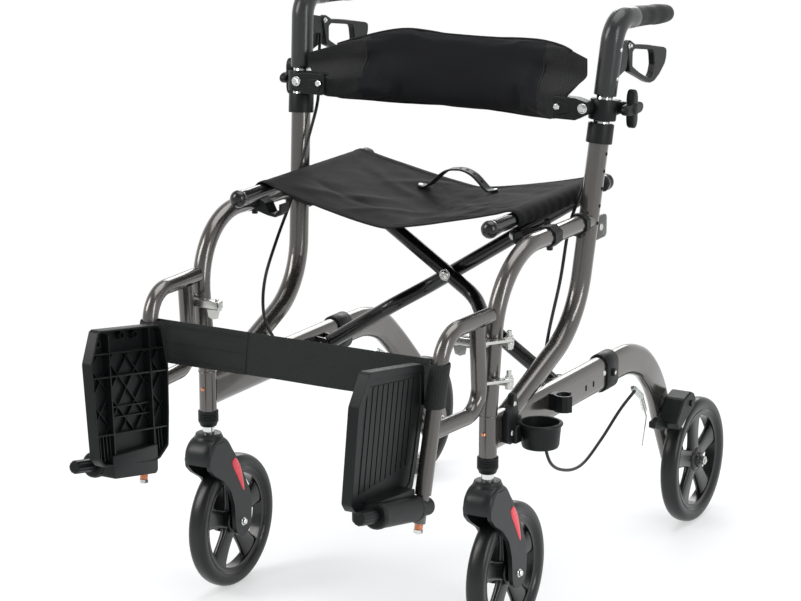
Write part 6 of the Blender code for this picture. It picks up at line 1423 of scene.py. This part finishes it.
def seat_sheet():
    """The sling's middle surface on a grid: wraps over both rails on circles, and between them
    seat_base with creases. Returns points (across, front to rear)."""
    wrap = RAIL_R + 0.0024
    turn = np.radians(np.linspace(90, -36, 16))[1:]
    x = np.linspace(-RAIL_X, RAIL_X, 131)
    y = np.linspace(SEAT_FRONT, SEAT_REAR, 95)
    gx, gy = np.meshgrid(x, y, indexing="ij")
    u = np.abs(gx) / RAIL_X
    give = np.clip((1 - u ** 4) * 1.2, 0, 1)
    blend = np.exp(-((1 - u) / 0.06) ** 2)
    gz = seat_base(gx, gy) * (1 - blend) + (RAIL_Z + wrap) * blend
    edge = np.clip(np.minimum(gy - SEAT_FRONT, SEAT_REAR - gy) / 0.02, 0.35, 1)
    gz += (creases(gx, gy, SEAT_LINES) + crumple(gx, gy, 0.016, 0.00042)) * give * edge
    middle = np.stack([gx, gy, gz], axis=2)
    pull = 0.0006 * np.sin(y * 260) * np.linspace(0, 1, 15)[:, None]
    right = np.stack([RAIL_X + (wrap + pull) * np.cos(turn)[:, None], np.broadcast_to(y, (15, 95)),
                      RAIL_Z + (wrap + pull) * np.sin(turn)[:, None]], axis=2)
    left = (right * (-1, 1, 1))[::-1]
    return np.concatenate([left, middle, right])


def thick_sheet(points, half):
    """A closed sheet: the middle surface moved along its normals by half the wall, out one way and
    back the other."""
    normal = np.cross(np.gradient(points, axis=0), np.gradient(points, axis=1))
    normal = unit(normal)
    return np.concatenate([points + normal * half[..., None], (points - normal * half[..., None])[:, ::-1]],
                          axis=1)


def stitches(shape, path, normal, pitch=0.0042, length=0.0030, slot=0):
    """A row of stitches: at each pitch a short thread, thick in its middle, lies on the cloth along
    the path."""
    total = arc_length(path)[-1]
    starts = np.arange(pitch / 2, total - length, pitch)
    u = np.linspace(0, 1, 5)
    stations = starts[:, None] + u * length
    flat = along(path, stations.ravel()).reshape(len(starts), 5, 3)
    lift = np.asarray(normal, float) * (0.00020 + 0.00025 * np.sin(np.pi * u))[:, None]
    for line in flat:
        shape.add(swept(line + lift, circle(0.00028, 6), across=(0.31, 0.2, 0.9)), slot=slot)
    return shape


def make_seat():
    """The sling, hemmed at the front and the rear: its wall is twice as thick in the hems."""
    points = seat_sheet()
    y = points[..., 1]
    edge = np.minimum(y - SEAT_FRONT, SEAT_REAR - y)
    half = (0.0007 + 0.0007 * np.clip((0.0160 - edge) / 0.0015, 0, 1)) * np.sqrt(np.clip(edge / 0.0012, 0.12,
                                                                                         1))
    made = put("seat_cloth", Shape().add(thick_sheet(points[15:-15], half[15:-15])), NYLON, "seat_body",
               replaces="seat_sling",
               smooth_angle=70)
    threads = Shape()
    for column in (4, 90):
        stitches(threads, points[16:-16, column] + (0, 0, 0.0014), (0, 0, 1))
    seam = put("seat_stitches", threads, STITCH, "seat_body")
    for piece in (made, seam):
        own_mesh(piece)
    for rows, side, body in ((slice(-16, None), "right", "cross_rear"),
                             (slice(None, 16), "left", "cross_front")):
        sleeve = put("seat_sleeve_" + side, Shape().add(thick_sheet(points[rows], half[rows])), NYLON, body,
                     smooth_angle=70)


def make_grab_strap():
    """The moulded lifting strap: a rounded band with a shallow channel, arched over the seat, and
    its end screws."""
    made = Shape()
    knots = [(-0.064, 0, 0), (-0.052, 0, 0), (-0.040, 0, 0.009), (-0.018, 0, 0.031), (0.004, 0, 0.037),
             (0.026, 0, 0.027), (0.050, 0, 0.0015), (0.064, 0, 0)]
    line = smooth(knots, 60)
    y = 0.336 + 0.10 * line[:, 0]
    z = seat_base(line[:, 0], y) + 0.0015 + 0.0006 + 0.0017 + np.maximum(0, line[:, 2])
    path = np.stack([line[:, 0], y, z], axis=1)
    a = np.linspace(0, 2 * np.pi, 33)[:-1]
    wide = 0.0100 * np.sign(np.cos(a)) * np.abs(np.cos(a)) ** 0.35
    deep = 0.0017 * np.sign(np.sin(a)) * np.abs(np.sin(a)) ** 0.5
    deep = deep - 0.0005 * np.exp(-(wide / 0.0055) ** 4) * np.sign(np.sin(a))
    section = np.stack([wide, deep], axis=1)
    grid = swept(path, section, across=(0, 1, 0))
    ends = np.minimum(arc_length(path), arc_length(path)[-1] - arc_length(path))
    narrow = np.sqrt(np.clip(1 - (1 - np.clip(ends / 0.008, 0, 1)) ** 2, 0.05, 1))
    grid = path[:, None] + (grid - path[:, None]) * np.stack([np.ones_like(narrow), narrow,
                                                              np.ones_like(narrow)], axis=1)[:, None]
    made.add(grid)
    way = unit(np.gradient(path, axis=0))
    up = np.cross(np.array((0, -1.0, 0)), way)
    # Painted shade: dark plates stand in for the shade inside the strap's holes.
    for i in (34, 38, 42, 46):
        hole = rounded_outline([(-0.0016, -0.0030), (0.0016, -0.0030), (0.0016, 0.0030), (-0.0016, 0.0030)],
                               (0.0012,) * 4)
        flat = path[i] + hole[:, :1] * way[i] + hole[:, 1:] * np.array((0, 1.0, 0))
        made.add(np.stack([flat + up[i] * 0.0010, flat + up[i] * 0.0017]), slot=2)
    for i in (3, 56):
        dome(made, path[i] + up[i] * 0.0012, up[i], 0.0042, 0.0016, slot=1)
    put("lifting_strap", made, [MOULDED, ZINC, HOLE_PAINTED_SHADE], "grab_body", replaces="grab_strap",
        smooth_angle=50)


def band_grid():
    """The backrest before it is filled: rings from one end to the other, each a rounded box whose
    faces swell, set square to the bow; y = BRACKET_Y + BAND_BOW (1 - v^2.6), v the share of the way
    to the tab."""
    flat = 0.188 / 0.2065
    s = np.concatenate([[-1, -flat], np.linspace(-0.895, 0.895, 75), [flat, 1]])
    u, v = np.abs(s), np.minimum(1.0, np.abs(s) / flat)
    y = BRACKET_Y + BAND_BOW * (1 - v ** 2.6)
    top = 0.8065 - np.where(s > 0, 0.0130 * np.maximum(0, (u - 0.55) / 0.45) ** 2,
                            0.0400 * np.maximum(0, (u - 0.40) / 0.60) ** 1.6)
    low = 0.6890 + 0.0210 * u ** 2.2
    thick = (0.0165 * (1 - v ** 9) + 0.0042) / 2
    slope = -BAND_BOW * 2.6 * v ** 1.6 * np.sign(s) / 0.188 * (1 - v ** 7)
    normal = unit(np.stack([-slope, np.ones_like(s), np.zeros_like(s)], axis=1))
    a = np.linspace(0, 2 * np.pi, 65)[:-1]
    wide = np.sign(np.cos(a)) * np.abs(np.cos(a)) ** 0.5
    high = np.sign(np.sin(a)) * np.abs(np.sin(a)) ** 0.85
    raised = np.clip((high + 0.30) / 0.75, 0, 1)
    raised = raised * raised * (3 - 2 * raised)
    x = s[:, None] * (0.2065 + 0.0240 * raised * u[:, None] ** 4)
    loose = BRACKET_Y + BAND_BOW - 0.0625 * u[:, None] ** 3.5
    back = y[:, None] * (1 - raised) + loose * raised
    middle = np.stack([x, back, ((top + low) / 2)[:, None] + ((top - low) / 2)[:, None] * high], axis=2)
    return middle + normal[:, None] * (thick[:, None] * wide)[..., None]


def points_of(mesh):
    """A mesh's points as an array."""
    points = np.empty(len(mesh.vertices) * 3)
    mesh.vertices.foreach_get("co", points)
    return points.reshape(-1, 3)


def filled(mesh_object, frames=20, pressure=4.0, cap=0.006):
    """Blows the closed skin up as cloth under pressure, with its ends held, and caps how far any
    point has moved."""
    mesh = mesh_object.data
    start = points_of(mesh)
    held = mesh_object.vertex_groups.new(name="held")
    middle = start[:, 0] - SHIFT[0]
    ends = np.nonzero(np.abs(middle) > 0.176)[0]
    held.add(ends.tolist(), 1.0, "REPLACE")
    cloth = mesh_object.modifiers.new("cloth", "CLOTH")
    cloth.settings.use_pressure = True
    cloth.settings.uniform_pressure_force = pressure
    cloth.settings.effector_weights.gravity = 0.0
    cloth.settings.vertex_group_mass = "held"
    cloth.settings.quality = 6
    cloth.settings.tension_stiffness = 25
    cloth.settings.compression_stiffness = 25
    cloth.settings.bending_stiffness = 0.8
    cloth.point_cache.frame_end = frames
    for frame_number in range(1, frames + 1):
        bpy.context.scene.frame_set(frame_number)
    graph = bpy.context.evaluated_depsgraph_get()
    end = points_of(mesh_object.evaluated_get(graph).to_mesh())
    mesh_object.evaluated_get(graph).to_mesh_clear()
    mesh_object.modifiers.remove(cloth)
    mesh_object.vertex_groups.remove(held)
    bpy.context.scene.frame_set(1)
    move = end - start
    far = np.linalg.norm(move, axis=1, keepdims=True)
    mesh.vertices.foreach_set("co", (start + move * np.minimum(1, cap / np.maximum(far, 1e-9))).ravel())
    mesh.update()


def half_of(source, name, sign):
    """The part of a closed mesh on one side of the middle plane, its cut closed with a flat face."""
    mesh = source.data.copy()
    mesh.name = name
    bm = bmesh.new()
    bm.from_mesh(mesh)
    bmesh.ops.bisect_plane(bm, geom=bm.verts[:] + bm.edges[:] + bm.faces[:], plane_co=(float(SHIFT[0]), 0, 0),
                           plane_no=(-sign, 0, 0), clear_outer=True)
    lids = bmesh.ops.holes_fill(bm, edges=[e for e in bm.edges if e.is_boundary])["faces"]
    for edge in {e for lid in lids for e in lid.edges}:
        edge.smooth = False
    bmesh.ops.recalc_face_normals(bm, faces=bm.faces)
    bm.to_mesh(mesh)
    bm.free()
    made = bpy.data.objects.new(name, mesh)
    bpy.context.scene.collection.objects.link(made)
    return made


def swing_with_bracket(piece):
    """Bakes a half of the band's placement into its mesh; it is not turned."""
    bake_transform(piece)


def band_edge(points, high):
    """The line along the filled band's top or bottom: at each station the most outlying point
    nearby, smoothed."""
    stations = np.linspace(-0.196, 0.196, 99)
    line = []
    for x in stations:
        near = points[np.abs(points[:, 0] - x) < 0.0035]
        line.append(near[np.argmax(near[:, 2] * (1 if high else -1))])
    line = np.array(line)
    line[:, 0] = stations
    for _ in range(6):
        line[1:-1] = (line[:-2] + 2 * line[1:-1] + line[2:]) / 4
    return line


def make_backrest():
    """The padded band, filled as cloth and then parted at the middle plane, its piping and its seams."""
    body = put("band_whole", Shape().add(band_grid()), [PAD_CLOTH, PAD_MESH], None)
    filled(body)
    points = points_of(body.data) - SHIFT
    centres = np.empty(len(body.data.polygons) * 3)
    body.data.polygons.foreach_get("center", centres)
    across = centres.reshape(-1, 3)[:, 0] - SHIFT[0]
    body.data.polygons.foreach_set("material_index", (np.abs(across) > BAND_SEAM_X).astype(np.int32))
    edges = [band_edge(points, True), band_edge(points, False)]
    front = []
    for x in (-BAND_SEAM_X, BAND_SEAM_X):
        near = points[(np.abs(points[:, 0] - x) < 0.0045)]
        near = near[near[:, 1] < np.median(near[:, 1])]
        near = near[np.argsort(near[:, 2])]
        seam = near[(near[:, 2] > 0.702) & (near[:, 2] < 0.790)]
        seam = np.stack([np.full(len(seam), x), seam[:, 1] - 0.0002, seam[:, 2]], axis=1)
        heights = np.linspace(seam[0, 2], seam[-1, 2], 30)
        seam = np.stack([np.full(30, x), np.interp(heights, seam[:, 2], seam[:, 1]), heights], axis=1)
        for _ in range(4):
            seam[1:-1] = (seam[:-2] + 2 * seam[1:-1] + seam[2:]) / 4
        front.append(seam)
    for sign, side in ((1, "right"), (-1, "left")):
        half = half_of(body, "band_" + side, sign)
        half.data.shade_smooth()
        if side == "right":
            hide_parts("backrest_band")
        swing_with_bracket(half)
        trim = Shape()
        for line in edges:
            part = line[line[:, 0] * sign >= -0.0001]
            if sign > 0:
                part = part[::-1]
            trim.add(swept(part, circle(0.0021, 14), across=(0, 1, 0)), slot=0)
        seam = front[1] if sign > 0 else front[0]
        trim.add(swept(seam, circle(0.0011, 10)), slot=1)
        stitches(trim, seam + (-0.0045 * sign, -0.0004, 0), (0, -1, 0), slot=1)
        swing_with_bracket(put("band_trim_" + side, trim, [PIPING, STITCH], None))
    bpy.data.objects.remove(body, do_unlink=True)


def calf_line(share):
    """The calf band's route at a share of its height: round both front tubes and between them, in
    design x and y."""
    z = 0.4500 - 0.058 * share
    x, y = hanger_at(z)[:2]
    r = HANGER_R + 0.0023
    turns = np.radians(np.linspace(178, 450, 40))
    wrap = np.stack([x + r * np.cos(turns), y + r * np.sin(turns)], axis=1)
    web = y + r
    back = web - 0.0030
    between = np.linspace(x, -x, 60)[1:-1]
    sag = (-0.0015 * (1 - (between / x) ** 2)
           + 0.0007 * np.sin(between * 34 + share * 2.5) * (1 - (between / x) ** 2))
    front = [(x - 0.040, back), (x - 0.030, back - 0.0003), (x - 0.021, back - 0.0004)]
    tail = [(-(x - 0.021), back - 0.0004), (-0.160, back - 0.0002), (-0.140, back), (-0.110, back),
            (-0.090, back), (-0.075, back)]
    flat = np.vstack([front, wrap, np.stack([between, web + sag], axis=1), (wrap * (-1, 1))[::-1], tail])
    return np.hstack([flat, np.full((len(flat), 1), z)])


def make_calf_strap():
    """The webbing band in two lengths that meet under its folded end, with rolled edges and rows of
    stitches."""
    shares = np.linspace(0, 1, 17)
    grid = np.stack([calf_line(share) for share in shares], axis=1)
    split = int(np.argmin(np.abs(grid[:100, 0, 0] + 0.10) + (np.arange(100) < 45) * 9))
    edge = np.minimum(shares, 1 - shares) * 0.058
    half = 0.0008 + 0.0003 * (edge < 0.0045)
    half = half * np.sqrt(np.clip(edge / 0.0010, 0.15, 1))
    for side, part, sign in (("right", grid[:split + 1], 1), ("left", grid[split:], -1)):
        made = put("calf_band_" + side, Shape().add(thick_sheet(part, np.broadcast_to(half, part.shape[:2]))),
                   WEBBING, "hanger_body_" + side,
                   replaces="calf_strap" if side == "right" else (), smooth_angle=70)
        threads = Shape()
        tail = part[:12] if side == "right" else part[-8:]
        for row in (2, 8, 14):
            stitches(threads, tail[:, row] + (0, -0.0010, 0), (0, -1, 0))
        seam = put("calf_stitches_" + side, threads, STITCH, "hanger_body_" + side)
        for piece in (made, seam):
            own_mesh(piece)


make_side_frames()
make_running_gear()
make_handles()
make_footrests()
make_brace()
make_extras()
make_seat()
make_grab_strap()
make_backrest()
make_calf_strap()


# Camera, room and lights

def make_camera():
    """The photograph's view: 29.4 degrees round to the side and 14.2 degrees above, a long lens."""
    data = bpy.data.cameras.new("camera")
    data.sensor_width = 36.0
    data.lens = 2758.85 * 36 / 801
    data.clip_start, data.clip_end = 0.1, 60.0
    camera = bpy.data.objects.new("camera", data)
    bpy.context.scene.collection.objects.link(camera)
    camera.location = Vector((1.9018, -3.2128, 1.4196)) + Vector(SHIFT)
    round_by, above = math.radians(29.40), math.radians(14.19)
    way = Vector((-math.sin(round_by) * math.cos(above), math.cos(round_by) * math.cos(above),
                  -math.sin(above)))
    camera.rotation_euler = way.to_track_quat("-Z", "Y").to_euler()
    bpy.context.scene.camera = camera


def seen_directly(tree):
    """1 for rays that come from the camera, a mirror or glass, and 0 for the light they carry
    elsewhere."""
    path = node(tree, "ShaderNodeLightPath")
    return maths(tree, "MAXIMUM", maths(tree, "MAXIMUM", path.outputs["Is Camera Ray"],
                                        path.outputs["Is Glossy Ray"]),
                 path.outputs["Is Transmission Ray"])


def make_room():
    """A pale floor that runs out into a white surround; gloss sees that surround too, dimmer
    towards the front."""
    world = bpy.data.worlds.new("surround")
    world.use_nodes = True
    tree = world.node_tree
    tree.nodes.clear()
    path = node(tree, "ShaderNodeLightPath")
    way = node(tree, "ShaderNodeSeparateXYZ", {0: node(tree, "ShaderNodeTexCoord").outputs["Generated"]})
    room = node(tree, "ShaderNodeMapRange", {0: way.outputs["Y"], 1: -0.45, 2: 0.20, 3: 0.72, 4: 1.0},
                interpolation_type="SMOOTHSTEP")
    above = node(tree, "ShaderNodeMapRange", {0: way.outputs["Z"], 1: 0.08, 2: 0.80, 3: 1.0, 4: 0.42},
                 interpolation_type="SMOOTHSTEP")
    mirrored = maths(tree, "MULTIPLY", path.outputs["Is Glossy Ray"],
                     maths(tree, "MULTIPLY", room.outputs[0], above.outputs[0]))
    shown = node(tree, "ShaderNodeBackground", {"Color": (1, 1, 1, 1)})
    direct = maths(tree, "MAXIMUM", path.outputs["Is Camera Ray"], path.outputs["Is Transmission Ray"])
    tree.links.new(maths(tree, "MAXIMUM", direct, mirrored), shown.inputs["Strength"])
    fill = node(tree, "ShaderNodeBackground", {"Color": (0.96, 0.98, 1.0, 1), "Strength": 0.50})
    mixed = node(tree, "ShaderNodeMixShader", {0: seen_directly(tree), 1: fill.outputs[0],
                                               2: shown.outputs[0]})
    node(tree, "ShaderNodeOutputWorld", {"Surface": mixed.outputs[0]})
    bpy.context.scene.world = world
    floor = Shape().add(np.array([[(-3, -2, 0), (3, -2, 0)], [(-3, 3, 0), (3, 3, 0)]], float), around=False)
    material = bpy.data.materials.new("pale_floor")
    material.use_nodes = True
    tree = material.node_tree
    tree.nodes.clear()
    place = node(tree, "ShaderNodeTexCoord")
    far = node(tree, "ShaderNodeVectorMath", {0: place.outputs["Object"]}, operation="LENGTH")
    fade = node(tree, "ShaderNodeMapRange", {0: far.outputs["Value"], 1: 0.5, 2: 1.9, 3: 0.5, 4: 1.0},
                interpolation_type="SMOOTHSTEP")
    ground = node(tree, "ShaderNodeBsdfPrincipled",
                  {"Base Color": (0.93, 0.94, 0.955, 1), "Roughness": 0.8, "Specular IOR Level": 0.15})
    white = node(tree, "ShaderNodeEmission", {"Color": (1, 1, 1, 1), "Strength": 1.0})
    share = maths(tree, "MULTIPLY", fade.outputs[0], seen_directly(tree))
    mixed = node(tree, "ShaderNodeMixShader", {0: share, 1: ground.outputs[0], 2: white.outputs[0]})
    node(tree, "ShaderNodeOutputMaterial", {"Surface": mixed.outputs[0]})
    made = put("floor", floor, material, None)


def make_lamp(name, place, aim, size, power, colour=(1, 1, 1)):
    """A rectangular lamp at a place, aimed at a point."""
    data = bpy.data.lights.new(name, "AREA")
    data.shape = "RECTANGLE"
    data.size, data.size_y = size
    data.energy = power
    data.color = colour
    lamp = bpy.data.objects.new(name, data)
    bpy.context.scene.collection.objects.link(lamp)
    lamp.location = place
    lamp.rotation_euler = (Vector(aim) - Vector(place)).to_track_quat("-Z", "Y").to_euler()


make_camera()
make_room()
make_lamp("key_left", (-2.6, -2.6, 3.0), (0, 0, 0.45), (1.6, 2.4), 92, (1.0, 0.99, 0.97))
make_lamp("fill_right", (3.4, -1.2, 1.9), (0, 0, 0.45), (0.8, 2.4), 46, (0.97, 0.99, 1.0))
make_lamp("top", (0.2, 0.6, 3.8), (0, 0, 0.3), (3.0, 3.0), 78)
make_lamp("rear", (-1.2, 3.2, 2.2), (0, 0, 0.5), (2.0, 1.6), 45)
bpy.context.scene.view_settings.view_transform = "Standard"
